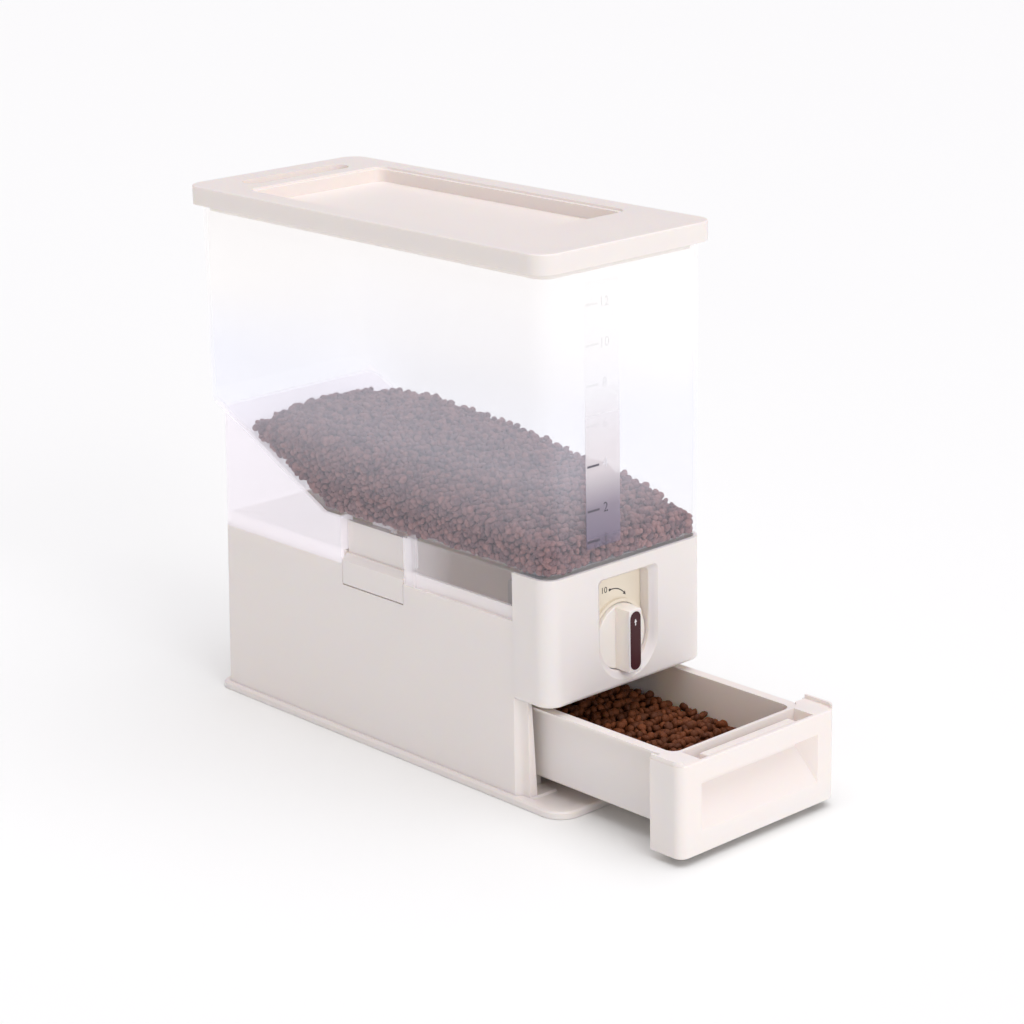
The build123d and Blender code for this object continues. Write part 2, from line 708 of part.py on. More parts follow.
# Dial: a disc with a grip bar across it and a hollow stem that takes the drum's shaft
inlay_back = bar_face + inlay_t
screw_seat = inlay_back + screw_head_h + head_gap
with BuildPart() as dial:
    rod(0, dial_z, dial_face, dial_back, dial_r)
    fillet(edges().group_by(Axis.Y)[0], dial_edge_r)
    with BuildSketch(facing(dial_face + bar_root)):
        with Locations((0, dial_z)):
            Rectangle(bar_width, 2 * dial_r)
            Circle(dial_r - bar_end_gap, mode=Mode.INTERSECT)
    extrude(amount=dial_face + bar_root - bar_face)
    fillet(edges().group_by(Axis.Y)[0], bar_edge_r)
    rod(0, dial_z, dial_back, drum_front - hand_gap, stem_r)
    rod(0, dial_z, collar_front, collar_back, collar_r)
    for s in sides:
        z_low, z_high = sorted((s * collar_flat, s * (collar_r + past)))
        slab(-collar_r, collar_r, collar_front, collar_back, dial_z + z_low, dial_z + z_high,
             Mode.SUBTRACT)
    with BuildSketch(facing(inlay_back)):
        with Locations((0, dial_z)):
            SlotOverall(inlay_length, inlay_width, rotation=90)
    extrude(amount=inlay_t, mode=Mode.SUBTRACT)
    rod(0, dial_z, inlay_back, screw_seat, screw_head_r, Mode.SUBTRACT)
    rod(0, dial_z, screw_seat, shaft_front, screw_r, Mode.SUBTRACT)
    rod(0, dial_z, shaft_front, drum_front, shaft_r, Mode.SUBTRACT)
finish(dial.part, "dial")

with BuildPart() as dial_inlay:
    with BuildSketch(facing(inlay_back)):
        with Locations((0, dial_z)):
            SlotOverall(inlay_length, inlay_width, rotation=90)
    extrude(amount=inlay_t + inlay_proud)
finish(dial_inlay.part, "dial_inlay")

dial_screw_tip = shaft_front + dial_screw_bite
with BuildPart() as dial_screw:
    pan_screws([(0, screw_seat, dial_z)], (0, 1, 0), dial_screw_tip - screw_seat)
finish(dial_screw.part, "dial_screw")

with BuildPart() as drum_shaft:
    rod(0, dial_z, shaft_front, shaft_back, shaft_r)
    rod(0, dial_z, shaft_front, dial_screw_tip, screw_r, Mode.SUBTRACT)
finish(drum_shaft.part, "drum_shaft")

# Metering drum: two pockets, so that half a turn carries one portion down
with BuildPart() as metering_drum:
    rod(0, dial_z, drum_front, drum_back, drum_r)
    for s in sides:
        z_low, z_high = sorted((s * drum_pocket_floor, s * (drum_r + past)))
        slab(-drum_pocket_x, drum_pocket_x, drum_front + drum_end_wall, drum_back - drum_end_wall,
             dial_z + z_low, dial_z + z_high, Mode.SUBTRACT)
    rod(0, dial_z, drum_front, drum_back, shaft_r, Mode.SUBTRACT)
finish(metering_drum.part, "metering_drum")

with BuildPart() as drum_bush:
    rod(0, dial_z, housing_back - wall, bush_back, bush_r)
    rod(0, dial_z, housing_back - wall, bush_back, shaft_r + run_gap, Mode.SUBTRACT)
finish(drum_bush.part, "drum_bush")

# Drum housing: a block round the drum, open above to the funnel and below to the drawer
with BuildPart() as drum_housing:
    slab(-housing_x, housing_x, housing_front, housing_back, deck_high, housing_top)
    rod(0, dial_z, housing_back, bush_back, bush_r + bush_boss_t)
    for s, y in drum_feet:
        x_low, x_high = sorted((s * (housing_x - join), s * (housing_x + foot_reach)))
        slab(x_low, x_high, y - foot_length / 2, y + foot_length / 2, deck_high, deck_high + foot_t)
    for x, y in drum_screws:
        post(x, y, deck_high, deck_high + foot_t, screw_clear_r, Mode.SUBTRACT)
    rod(0, dial_z, housing_front + wall, housing_back - wall, drum_r + drum_gap, Mode.SUBTRACT)
    slab(-throat_x, throat_x, throat_front, throat_back, deck_high, housing_top, Mode.SUBTRACT)
    rod(0, dial_z, housing_front, housing_front + wall, stem_r + run_gap, Mode.SUBTRACT)
    rod(0, dial_z, housing_back - wall, shaft_back, bush_r, Mode.SUBTRACT)
finish(drum_housing.part, "drum_housing")

with BuildPart() as drum_fixings:
    pan_screws([(x, y, deck_high + foot_t) for x, y in drum_screws], (0, 0, -1),
               foot_t + frame_t + pilot_boss_h - hand_gap)
finish(drum_fixings.part, "drum_housing_screws")

with BuildPart() as inlet_wipers:
    side_slabs(throat_x - wiper_t, throat_x, throat_front + hand_gap, throat_back - hand_gap,
               dial_z + wiper_low, housing_top)
finish(inlet_wipers.part, "inlet_wipers")

with BuildPart() as detent_spring:
    slab(-spring_x, spring_x, collar_front + hand_gap, collar_back, spring_low, spring_high)
finish(detent_spring.part, "detent_spring")

with BuildPart() as funnel_gasket:
    slab(-throat_x - gasket_rim, throat_x + gasket_rim, throat_front - gasket_rim,
         throat_back + gasket_rim, housing_top, throat_z)
    slab(-throat_x, throat_x, throat_front, throat_back, housing_top, throat_z, Mode.SUBTRACT)
finish(funnel_gasket.part, "funnel_gasket")

# Room inside the hopper, above its flat and sloping floors
floor_drop = clear_wall * (1 + slope_rise ** 2) ** 0.5  # vertical thickness of the sloping floor
far_y = lid_back + past
with BuildPart() as hopper_room:
    with BuildSketch(Plane.XY.offset(floor_z)):
        all_round(tub_x - clear_wall, tub_front + clear_wall, tub_back - clear_wall,
                  tub_corner_r - clear_wall)
    with BuildSketch(Plane.XY.offset(hopper_top)):
        all_round(tub_top_x - clear_wall, tub_top_front + clear_wall, tub_back - clear_wall,
                  tub_corner_r - clear_wall)
    loft(ruled=True)
    with BuildSketch(Plane.YZ):
        with BuildLine():
            Polyline((slope_foot_y, floor_z), (far_y, slope_z(far_y)), (far_y, floor_z - past),
                     (slope_foot_y, floor_z - past), close=True)
        make_face()
    extrude(amount=lid_x, both=True, mode=Mode.SUBTRACT)

# Skirt under the tub, which carries the hopper on the base
with BuildPart() as hopper_skirt:
    skirt_top = seam_z + skirt_height
    with BuildSketch(Plane.XY.offset(seam_z)):
        open_front(skirt_x, skirt_front, skirt_back, base_corner_r)
    with BuildSketch(Plane.XY.offset(skirt_top)):
        open_front(skirt_x, skirt_front, skirt_back - skirt_back_draft, base_corner_r)
    loft(ruled=True)
    with BuildSketch(Plane.XY.offset(seam_z)):
        open_front(skirt_in, skirt_front, skirt_back - clear_wall, base_corner_r - clear_wall)
    with BuildSketch(Plane.XY.offset(skirt_top)):
        open_front(skirt_in, skirt_front, skirt_back - skirt_back_draft - clear_wall,
                   base_corner_r - clear_wall)
    loft(ruled=True, mode=Mode.SUBTRACT)
    with BuildSketch(Plane.YZ):
        with BuildLine():
            Polyline((skirt_front - past, floor_mid), (slope_foot_y, floor_mid),
                     (far_y, slope_z(far_y) - clear_wall / 2), (far_y, hopper_top),
                     (skirt_front - past, hopper_top), close=True)
        make_face()
    extrude(amount=lid_x, both=True, mode=Mode.SUBTRACT)
    side_slabs(skirt_in - past, skirt_x + past, notch_front, notch_back, seam_z, hopper_under,
               Mode.SUBTRACT)
    for y_low, y_high in ((notch_front - notch_return_t, notch_front),
                          (notch_back, notch_back + notch_return_t)):
        side_slabs(skirt_in - notch_return, skirt_in + join, y_low, y_high,
                   seam_z + upstand_h + hand_gap, floor_mid)

# Hopper: one clear moulding of tub, sloping floor, funnel, skirt and the two latch catches
catch_x = latch_arm_x - latch_arm_t - catch_gap
catch_root = catch_x - catch_bite - catch_clear
catch_y = latch_nose_y + catch_over
catch_top = latch_arm_top - latch_nose_h - hand_gap
with BuildPart() as hopper:
    with BuildSketch(Plane.XY.offset(hopper_under)):
        all_round(tub_x, tub_front, tub_back, tub_corner_r)
    with BuildSketch(Plane.XY.offset(hopper_top)):
        all_round(tub_top_x, tub_top_front, tub_back, tub_corner_r)
    loft(ruled=True)
    with BuildSketch(Plane.YZ):
        with BuildLine():
            Polyline((slope_foot_y, hopper_under), (far_y, slope_z(far_y) - floor_drop),
                     (far_y, hopper_under - past), (slope_foot_y, hopper_under - past), close=True)
        make_face()
    extrude(amount=lid_x, both=True, mode=Mode.SUBTRACT)
    add(hopper_skirt.part)
    with BuildSketch(Plane.XY.offset(hopper_top - lip_h)):
        all_round(tub_top_x + lip_out, tub_top_front - lip_out, tub_back + lip_out,
                  tub_corner_r + lip_out)
    extrude(amount=lip_h)
    # Funnel and spout
    with BuildSketch(Plane.XY.offset(throat_z + spout_h)):
        all_round(throat_x + clear_wall, throat_front - clear_wall, throat_back + clear_wall,
                  spout_r + clear_wall)
    with BuildSketch(Plane.XY.offset(floor_mid)):
        all_round(funnel_x + clear_wall, throat_front - funnel_front_lean - clear_wall,
                  funnel_back + clear_wall, funnel_r + clear_wall)
    loft(ruled=True)
    slab(-throat_x - clear_wall, throat_x + clear_wall, throat_front - clear_wall,
         throat_back + clear_wall, throat_z, throat_z + spout_h + join)
    add(hopper_room.part, mode=Mode.SUBTRACT)
    with BuildSketch(Plane.XY.offset(throat_z + spout_h)):
        all_round(throat_x, throat_front, throat_back, spout_r)
    with BuildSketch(Plane.XY.offset(floor_z)):
        all_round(funnel_x, throat_front - funnel_front_lean, funnel_back, funnel_r)
    loft(ruled=True, mode=Mode.SUBTRACT)
    slab(-throat_x, throat_x, throat_front, throat_back, throat_z, throat_z + spout_h + join,
         Mode.SUBTRACT)
    # Catches
    side_slabs(catch_root - catch_web, catch_x, -catch_y, catch_y, catch_top - catch_h, catch_top)
    side_slabs(catch_root - catch_web, catch_root, -catch_y, catch_y, catch_top - join, floor_mid)
finish(hopper.part, "hopper")

# Level strip, a clear film that follows the draft of the hopper's front wall
def wall_front(z):
    """Outer face of the hopper's front wall at a height."""
    return tub_front - tub_front_draft * (z - hopper_under) / (hopper_top - hopper_under)


with BuildPart() as level_gauge:
    for z in (gauge_low_z, hopper_top - gauge_top_margin):
        with BuildSketch(Plane.XY.offset(z)):
            with Locations(((gauge_low_x + gauge_high_x) / 2, wall_front(z) - gauge_t / 2 - gauge_gap)):
                Rectangle(gauge_high_x - gauge_low_x, gauge_t)
    loft(ruled=True)
finish(level_gauge.part, "level_gauge")

# Lid: a shallow cap with a tray and a blind grip slot in its top and a plug rib beneath
plug_out = tub_top_x - clear_wall - hand_gap - seal_t
plug_front = tub_top_front + clear_wall + hand_gap + seal_t
plug_back = tub_back - clear_wall - hand_gap - seal_t
plug_r = tub_corner_r - clear_wall - seal_t
under = height - lid_top_t
with BuildPart() as lid:
    with BuildSketch(Plane.XY.offset(height - lid_skirt)):
        all_round(lid_x, lid_front, lid_back, lid_corner_r)
    extrude(amount=lid_skirt)
    fillet(edges().group_by(Axis.Z)[-1], lid_edge)
    with BuildSketch(Plane.XY.offset(height - lid_skirt)):
        all_round(lid_x - wall, lid_front + wall, lid_back - wall, lid_corner_r - wall)
    extrude(amount=lid_skirt - lid_top_t, mode=Mode.SUBTRACT)
    # Plug rib
    with BuildSketch(Plane.XY.offset(under - plug_h)):
        all_round(plug_out, plug_front, plug_back, plug_r)
        with Locations((0, (plug_front + plug_back) / 2)):
            RectangleRounded(2 * (plug_out - plug_t), plug_back - plug_front - 2 * plug_t,
                             plug_r - plug_t, mode=Mode.SUBTRACT)
    extrude(amount=plug_h + join)
    # Pans under the tray and the slot
    with BuildSketch(Plane.XY.offset(under + join)):
        all_round(lid_x - tray_side + wall, tray_front - wall, tray_back + wall,
                  tray_corner_r + wall)
        with Locations((0, slot_y)):
            SlotOverall(slot_length + 2 * wall, slot_width + 2 * wall)
    extrude(amount=-(tray_depth - lid_top_t + wall))
    # Tray with a step round its edge, and slot
    with BuildSketch(Plane.XY.offset(height)):
        all_round(lid_x - tray_side, tray_front, tray_back, tray_corner_r)
    extrude(amount=-tray_step_depth, taper=tray_step_taper, mode=Mode.SUBTRACT)
    with BuildSketch(Plane.XY.offset(height)):
        all_round(lid_x - tray_side - tray_step, tray_front + tray_step, tray_back - tray_step,
                  tray_corner_r - tray_step)
    extrude(amount=-tray_depth, taper=tray_taper, mode=Mode.SUBTRACT)
    with BuildSketch(Plane.XY.offset(height)):
        with Locations((0, slot_y)):
            SlotOverall(slot_length, slot_width)
    extrude(amount=-slot_depth, taper=slot_taper, mode=Mode.SUBTRACT)
finish(lid.part, "lid")

with BuildPart() as lid_seal:
    seal_low = under - plug_h + seal_rise
    with BuildSketch(Plane.XY.offset(seal_low)):
        all_round(plug_out + seal_t, plug_front - seal_t, plug_back + seal_t, plug_r + seal_t)
        with Locations((0, (plug_front + plug_back) / 2)):
            RectangleRounded(2 * plug_out, plug_back - plug_front, plug_r, mode=Mode.SUBTRACT)
    extrude(amount=seal_h)
finish(lid_seal.part, "lid_seal")

# Drawer box: a tub with a rim that turns out
with BuildPart() as drawer_box:
    with BuildSketch(Plane.XY.offset(box_floor)):
        all_round(box_x - box_draft, box_front, box_back - box_draft, box_foot_r)
    with BuildSketch(Plane.XY.offset(box_rim)):
        all_round(box_x, box_front, box_back, box_corner_r)
    loft(ruled=True)
    fillet(edges().group_by(Axis.Z)[0], box_floor_r)
    with BuildSketch(Plane.XY.offset(box_rim - rim_lip_h)):
        with Locations((0, (box_front + box_back + rim_lip) / 2)):
            RectangleRounded(2 * (box_x + rim_lip), box_length + rim_lip, box_corner_r)
    extrude(amount=rim_lip_h)
    with BuildSketch(Plane.XY.offset(box_floor + box_wall)):
        all_round(box_x - box_draft - box_wall, box_front + box_wall,
                  box_back - box_draft - box_wall, box_foot_r - box_wall)
    with BuildSketch(Plane.XY.offset(box_rim)):
        all_round(box_x - box_wall, box_front + box_wall, box_back - box_wall,
                  box_corner_r - box_wall)
    loft(ruled=True, mode=Mode.SUBTRACT)
finish(drawer_box.part, "drawer_box")

# Drawer front: a deep fascia with wings that wrap the pillars, a scooped grip and an open channel
web_back = box_front
web_front = web_back - fascia_web
rib_x = channel_x - channel_rib_end
with BuildPart() as channel_rib:
    slab(-rib_x, rib_x, -channel_rib_t / 2, channel_rib_t / 2, 0,
         fascia_top - channel_rib_drop - channel_floor + join)
    fillet(edges().group_by(Axis.Z)[-1], channel_rib_r)
with BuildPart() as drawer_front:
    with BuildSketch(Plane.XY.offset(fascia_low)):
        open_back(fascia_x, fascia_y, wing_back, fascia_corner_r)
    extrude(amount=fascia_top - fascia_low)
    fillet(edges().group_by(Axis.Y)[0].filter_by(Axis.X), fascia_edge_r)
    rim_x = box_x + rim_lip + rim_gap
    with BuildSketch(Plane.XY.offset(fascia_low)):
        open_back(rim_x, web_back, wing_back + box_corner_r, box_corner_r)
    extrude(amount=fascia_top - fascia_low, mode=Mode.SUBTRACT)
    side_slabs(box_x, fascia_x - wall, web_back, wing_back, fascia_low, fascia_top - wall,
               Mode.SUBTRACT)
    side_slabs(box_x, fascia_x - wall, wing_back - wing_past, wing_back, fascia_low, fascia_top,
               Mode.SUBTRACT)
    # Channel with its rib
    slab(-channel_x, channel_x, fascia_y + wall, web_front, channel_floor, fascia_top, Mode.SUBTRACT)
    rib_y = (fascia_y + wall + web_front) / 2
    with Locations((0, rib_y, channel_floor - join)):
        add(channel_rib.part)
    # Lips on the two corners
    with BuildSketch(Plane.XY.offset(fascia_top - join)):
        open_back(fascia_x, fascia_y, wing_back - wing_past, fascia_corner_r)
        open_back(fascia_x - corner_lip_t, fascia_y + corner_lip_t, wing_back,
                  fascia_corner_r - corner_lip_t, Mode.SUBTRACT)
        with Locations((0, fascia_y)):
            Rectangle(2 * (fascia_x - fascia_corner_r / 2), 2 * fascia_depth, mode=Mode.SUBTRACT)
    extrude(amount=join + corner_lip_h)
    # Hollows behind the face
    hollow_x = fascia_x - wall - grip_wall
    slab(-hollow_x, hollow_x, fascia_y + wall, web_front, fascia_low, grip_low - grip_wall,
         Mode.SUBTRACT)
    side_slabs(grip_x + wall, fascia_x - wall, fascia_y + fascia_corner_r, web_front, fascia_low,
               fascia_top - wall, Mode.SUBTRACT)
    # Grip
    with BuildSketch(facing(fascia_y)):
        with Locations((0, (grip_low + grip_high) / 2)):
            Rectangle(2 * grip_x, grip_high - grip_low)
    with BuildSketch(facing(fascia_y + grip_depth)):
        with Locations((0, (grip_deep_low + grip_deep_high) / 2)):
            Rectangle(2 * grip_deep_x, grip_deep_high - grip_deep_low)
    loft(ruled=True, mode=Mode.SUBTRACT)
finish(drawer_front.part, "drawer_front")

# Drawer rails: a shelf and a guide on each side, with a stop at the back
with BuildPart() as drawer_rail_right:
    slab(rail_x - rail_shelf, rail_x, rail_front, rail_end, plate_t, rail_top)
    slab(guide_x, rail_x, rail_front, rail_end, plate_t, plate_t + rail_height)
    slab(rail_x - rail_shelf, rail_x, rail_stop, rail_end, plate_t, plate_t + rail_stop_h)
    for x, y in rail_screws[2:]:
        post(x, y, plate_t, plate_hole_top, screw_r, Mode.SUBTRACT)
finish(drawer_rail_right.part, "drawer_rail_right")

with BuildPart() as drawer_rail_left:
    mirror(drawer_rail_right.part, about=Plane.YZ)
finish(drawer_rail_left.part, "drawer_rail_left")

# Latches: a thumb tab in the base wall, rocking on a pin, with an arm that hooks the hopper
with BuildPart() as latch_right:
    with BuildSketch(facing(latch_back)):
        with BuildLine():
            arm_in = latch_arm_x - latch_arm_t
            Polyline((half_w, latch_low), (half_w, latch_high - latch_bevel),
                     (half_w - latch_bevel, latch_high), (latch_arm_x, latch_high),
                     (latch_arm_x, latch_arm_top), (arm_in, latch_arm_top),
                     (arm_in, latch_high - latch_block_h), (half_w - wall, latch_high - latch_block_h),
                     (half_w - wall, latch_low), close=True)
        make_face()
    extrude(amount=latch_back - latch_front)
    rod(latch_pivot_x, latch_pivot_z, latch_front, latch_back, latch_barrel_r)
    slab(arm_in - latch_nose, arm_in + join, -latch_nose_y, latch_nose_y,
         latch_arm_top - latch_nose_h, latch_arm_top)
    rod(latch_pivot_x, latch_pivot_z, latch_front, latch_back, pin_r + run_gap, Mode.SUBTRACT)
finish(latch_right.part, "latch_right")

with BuildPart() as latch_left:
    mirror(latch_right.part, about=Plane.YZ)
finish(latch_left.part, "latch_left")

for side_name, s in (("right", 1), ("left", -1)):
    with BuildPart() as latch_pin:
        rod(s * latch_pivot_x, latch_pivot_z, slot_front - pin_seat, slot_back + pin_seat, pin_r)
    finish(latch_pin.part, f"latch_pin_{side_name}")
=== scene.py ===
"""Pet food storage container, dressed for its portrait.

Metres. +Z is up and the floor is z = 0. The drawer and the dial face -Y, and +X is to the right of
someone who looks at the front. The sections follow the object as it is put together.
"""

import itertools
import math
import random

import bmesh
import bpy
from mathutils import Matrix, Quaternion, Vector, noise


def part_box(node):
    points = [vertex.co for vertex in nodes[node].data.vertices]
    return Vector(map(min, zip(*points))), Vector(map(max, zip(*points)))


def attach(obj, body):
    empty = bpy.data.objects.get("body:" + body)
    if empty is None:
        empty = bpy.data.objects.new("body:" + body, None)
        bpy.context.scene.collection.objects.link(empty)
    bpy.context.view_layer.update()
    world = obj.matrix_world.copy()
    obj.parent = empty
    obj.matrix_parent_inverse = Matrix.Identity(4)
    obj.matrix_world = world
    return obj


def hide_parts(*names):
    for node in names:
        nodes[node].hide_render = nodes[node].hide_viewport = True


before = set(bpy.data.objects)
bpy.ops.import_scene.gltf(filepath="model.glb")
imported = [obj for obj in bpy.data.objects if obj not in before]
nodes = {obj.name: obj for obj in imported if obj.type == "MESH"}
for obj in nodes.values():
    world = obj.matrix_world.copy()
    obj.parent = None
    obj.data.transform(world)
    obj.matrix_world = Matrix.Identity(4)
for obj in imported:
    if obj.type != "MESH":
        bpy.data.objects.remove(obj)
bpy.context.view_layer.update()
scene = bpy.context.scene
MM = 0.001

# Base plate, base housing, dial cover, lid, drawer and latches. They are injection moulded in one
# opaque cream plastic with a satin surface: the tone wanders a little over a large moulding, and
# the sheen is broken by a fine grain from the tool.
CREAM_LIGHT = (0.920, 0.850, 0.808, 1)
CREAM_DEEP = (0.905, 0.825, 0.775, 1)
SCUFF_SCALE = 90
SCUFF_SPREAD = 0.16


def group_of(name, inputs, outputs):
    """Empty shader group with its sockets, and the nodes that its inputs and outputs hang on."""
    tree = bpy.data.node_groups.new(name, "ShaderNodeTree")
    for label, kind in inputs:
        tree.interface.new_socket(label, in_out="INPUT", socket_type=kind)
    for label, kind in outputs:
        tree.interface.new_socket(label, in_out="OUTPUT", socket_type=kind)
    return tree, tree.nodes.new("NodeGroupInput"), tree.nodes.new("NodeGroupOutput")


def scaled_noise(tree, scale, detail):
    """Noise on Object coordinates. The scale is a number or a socket."""
    place = tree.nodes.new("ShaderNodeTexCoord")
    cloud = tree.nodes.new("ShaderNodeTexNoise")
    cloud.inputs["Detail"].default_value = detail
    tree.links.new(place.outputs["Object"], cloud.inputs["Vector"])
    if isinstance(scale, (int, float)):
        cloud.inputs["Scale"].default_value = scale
    else:
        tree.links.new(scale, cloud.inputs["Scale"])
    return cloud


def arithmetic(tree, operation, first, second):
    """Math node on two values or sockets."""
    step = tree.nodes.new("ShaderNodeMath")
    step.operation = operation
    for socket, value in zip(step.inputs, (first, second)):
        if isinstance(value, (int, float)):
            socket.default_value = value
        else:
            tree.links.new(value, socket)
    return step.outputs[0]


def blend_colours(tree, factor, first, second):
    """Mix node on two colours or sockets."""
    mix = tree.nodes.new("ShaderNodeMix")
    mix.data_type = "RGBA"
    for label, value in (("Factor", factor), ("A", first), ("B", second)):
        socket = mix.inputs[label]
        if hasattr(value, "links"):
            tree.links.new(value, socket)
        else:
            socket.default_value = value
    return mix.outputs["Result"]


def make_tool_finish():
    """Surface from a moulding tool: slow drift of tone and sheen, and a fine grain."""
    tree, given, result = group_of(
        "tool_finish",
        [("Light", "NodeSocketColor"), ("Deep", "NodeSocketColor"), ("Sheen", "NodeSocketFloat"),
         ("Drift Scale", "NodeSocketFloat"), ("Grain Scale", "NodeSocketFloat")],
        [("Colour", "NodeSocketColor"), ("Roughness", "NodeSocketFloat"), ("Height", "NodeSocketFloat")])
    drift = scaled_noise(tree, given.outputs["Drift Scale"], 3)
    colour = blend_colours(tree, drift.outputs["Fac"], given.outputs["Light"], given.outputs["Deep"])
    scuffs = arithmetic(tree, "SUBTRACT", scaled_noise(tree, SCUFF_SCALE, 4).outputs["Fac"], 0.5)
    spread = arithmetic(tree, "MULTIPLY", scuffs, SCUFF_SPREAD)
    grain = scaled_noise(tree, given.outputs["Grain Scale"], 2)
    tree.links.new(colour, result.inputs["Colour"])
    tree.links.new(arithmetic(tree, "ADD", given.outputs["Sheen"], spread), result.inputs["Roughness"])
    tree.links.new(grain.outputs["Fac"], result.inputs["Height"])
    return tree


tool_finish = make_tool_finish()


def new_material(name):
    """Material with its tree and its Principled BSDF."""
    material = bpy.data.materials.new(name)
    material.use_nodes = True
    return material, material.node_tree, material.node_tree.nodes["Principled BSDF"]


def moulded(name, light, deep, sheen, grain_scale=2200, grain_depth=0.00001, drift_scale=9):
    """Material of a moulded piece."""
    material, tree, shader = new_material(name)
    finish = tree.nodes.new("ShaderNodeGroup")
    finish.node_tree = tool_finish
    for label, value in (("Light", light), ("Deep", deep), ("Sheen", sheen),
                         ("Drift Scale", drift_scale), ("Grain Scale", grain_scale)):
        finish.inputs[label].default_value = value
    bump = tree.nodes.new("ShaderNodeBump")
    bump.inputs["Distance"].default_value = grain_depth
    tree.links.new(finish.outputs["Height"], bump.inputs["Height"])
    tree.links.new(finish.outputs["Colour"], shader.inputs["Base Color"])
    tree.links.new(finish.outputs["Roughness"], shader.inputs["Roughness"])
    tree.links.new(bump.outputs["Normal"], shader.inputs["Normal"])
    return material, shader


def dress(material, *names):
    """Give CAD pieces their finish."""
    for name in names:
        for slot in nodes[name].material_slots:
            slot.material = material


def let_light_in(shader, weight):
    """Let light sink a little way into a pale plastic."""
    shader.inputs["Subsurface Weight"].default_value = weight
    shader.inputs["Subsurface Radius"].default_value = (0.008, 0.005, 0.0025)
    shader.inputs["Subsurface Scale"].default_value = 1.0


cream, cream_shader = moulded("cream_plastic", CREAM_LIGHT, CREAM_DEEP, sheen=0.36)
let_light_in(cream_shader, 0.25)
dress(cream, "base_plate", "base_housing", "front_cover", "lid", "drawer_box", "drawer_front",
      "latch_right", "latch_left")

# Dial: a disc with a grip bar across it, in the same plastic polished a little more. Its colour is
# painted paler and yellower than the other pieces: painted light for the brighter, warmer light it
# gets in the window. It turns in the window of the front cover.
DIAL_PAINTED_PALE = (0.975, 0.915, 0.850, 1)
DIAL_PAINTED_DEEP = (0.965, 0.895, 0.825, 1)
# Painted light: the dial is a paler, yellower copy of the cream.
dial_painted_light, dial_shader = moulded("dial_plastic_painted_light", DIAL_PAINTED_PALE, DIAL_PAINTED_DEEP, sheen=0.33)
let_light_in(dial_shader, 0.3)
dress(dial_painted_light, "dial")

# Works under the hopper: bulkhead and deck, metering drum in its housing, bush and drawer rails.
# They are moulded in a plainer off-white plastic, duller than the outer pieces.
INNER_LIGHT = (0.72, 0.68, 0.62, 1)
INNER_DEEP = (0.66, 0.61, 0.54, 1)
inner, _ = moulded("inner_plastic", INNER_LIGHT, INNER_DEEP, sheen=0.5, grain_scale=1600,
                   grain_depth=0.00002)
dress(inner, "mechanism_frame", "metering_drum", "drum_housing", "drum_bush", "drawer_rail_right",
      "drawer_rail_left")

# Seals and wipers: pale silicone rubber, pressed, with a soft dull surface. A ring goes round the
# rib under the lid, a gasket lies under the hopper's spout, and two wipers keep kibble off the drum.
RUBBER_LIGHT = (0.62, 0.60, 0.57, 1)
RUBBER_DEEP = (0.55, 0.53, 0.50, 1)
rubber, _ = moulded("seal_rubber", RUBBER_LIGHT, RUBBER_DEEP, sheen=0.68, grain_scale=3000,
                    grain_depth=0.00002)
dress(rubber, "funnel_gasket", "inlet_wipers", "lid_seal")

# Screws, spring, pins and shaft: plated steel, drawn and turned, so the sheen has fine streaks.
# They hold the base together, carry the drum and the latches, and click on the dial's collar.
STEEL_LIGHT = (0.60, 0.60, 0.61, 1)
STEEL_DEEP = (0.48, 0.48, 0.50, 1)
steel, steel_shader = moulded("plated_steel", STEEL_LIGHT, STEEL_DEEP, sheen=0.3, grain_scale=5000)
steel_shader.inputs["Metallic"].default_value = 1.0
dress(steel, "base_plate_screws", "frame_screws", "front_cover_screws", "drum_housing_screws",
      "dial_screw", "detent_spring", "latch_pin_right", "latch_pin_left", "drum_shaft")

# Dial plate: a duller moulding behind the window, its cream painted yellower for the warm light
# bounced about its recess. Its pad print is a dot, a plain number and an arc with an arrowhead that
# shows which way the dial turns.
PLATE_PAINTED_PALE = (0.900, 0.835, 0.700, 1)
PLATE_PAINTED_DEEP = (0.880, 0.800, 0.650, 1)
INK_LIFT = 0.04 * MM
PLATE_FACE = -163.4 * MM
ARC_X = -3.5 * MM
ARC_Z = 120.2 * MM
ARC_R = 15.4 * MM
ARC_WIDTH = 0.7 * MM
ARC_FROM = math.radians(96.7)
ARC_TO = math.radians(44)
DOT_R = 0.95 * MM
HEAD = 1.3 * MM
NUMBER_X = -10.5 * MM
NUMBER_Z = 136.2 * MM
NUMBER_SIZE = 5.9 * MM
BEND_STEPS = 24
DOT_STEPS = 20
DARK_INK = (0.035, 0.03, 0.03, 1)


def printed_ink(name, colour):
    """Flat ink with the slight mottle of a pad print."""
    mottle = tuple(c * 1.3 for c in colour[:3]) + (1,)
    ink, _ = moulded(name, colour, mottle, sheen=0.55, grain_scale=4000, grain_depth=0.000004)
    return ink


def piece_from(name, bm, material, body):
    """Scene object from a bmesh, with its material, riding on a body."""
    mesh = bpy.data.meshes.new(name)
    bm.to_mesh(mesh)
    bm.free()
    piece = bpy.data.objects.new(name, mesh)
    scene.collection.objects.link(piece)
    mesh.materials.append(material)
    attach(piece, body)
    return piece


def outline_face(bm, points, thickness):
    """Flat plate in the XZ plane through points, its front at y = 0 and its back behind it."""
    face = bm.faces.new([bm.verts.new((x, thickness, z)) for x, z in points])
    grown = bmesh.ops.extrude_face_region(bm, geom=[face])
    moved = [v for v in grown["geom"] if isinstance(v, bmesh.types.BMVert)]
    bmesh.ops.translate(bm, verts=moved, vec=(0, -thickness, 0))


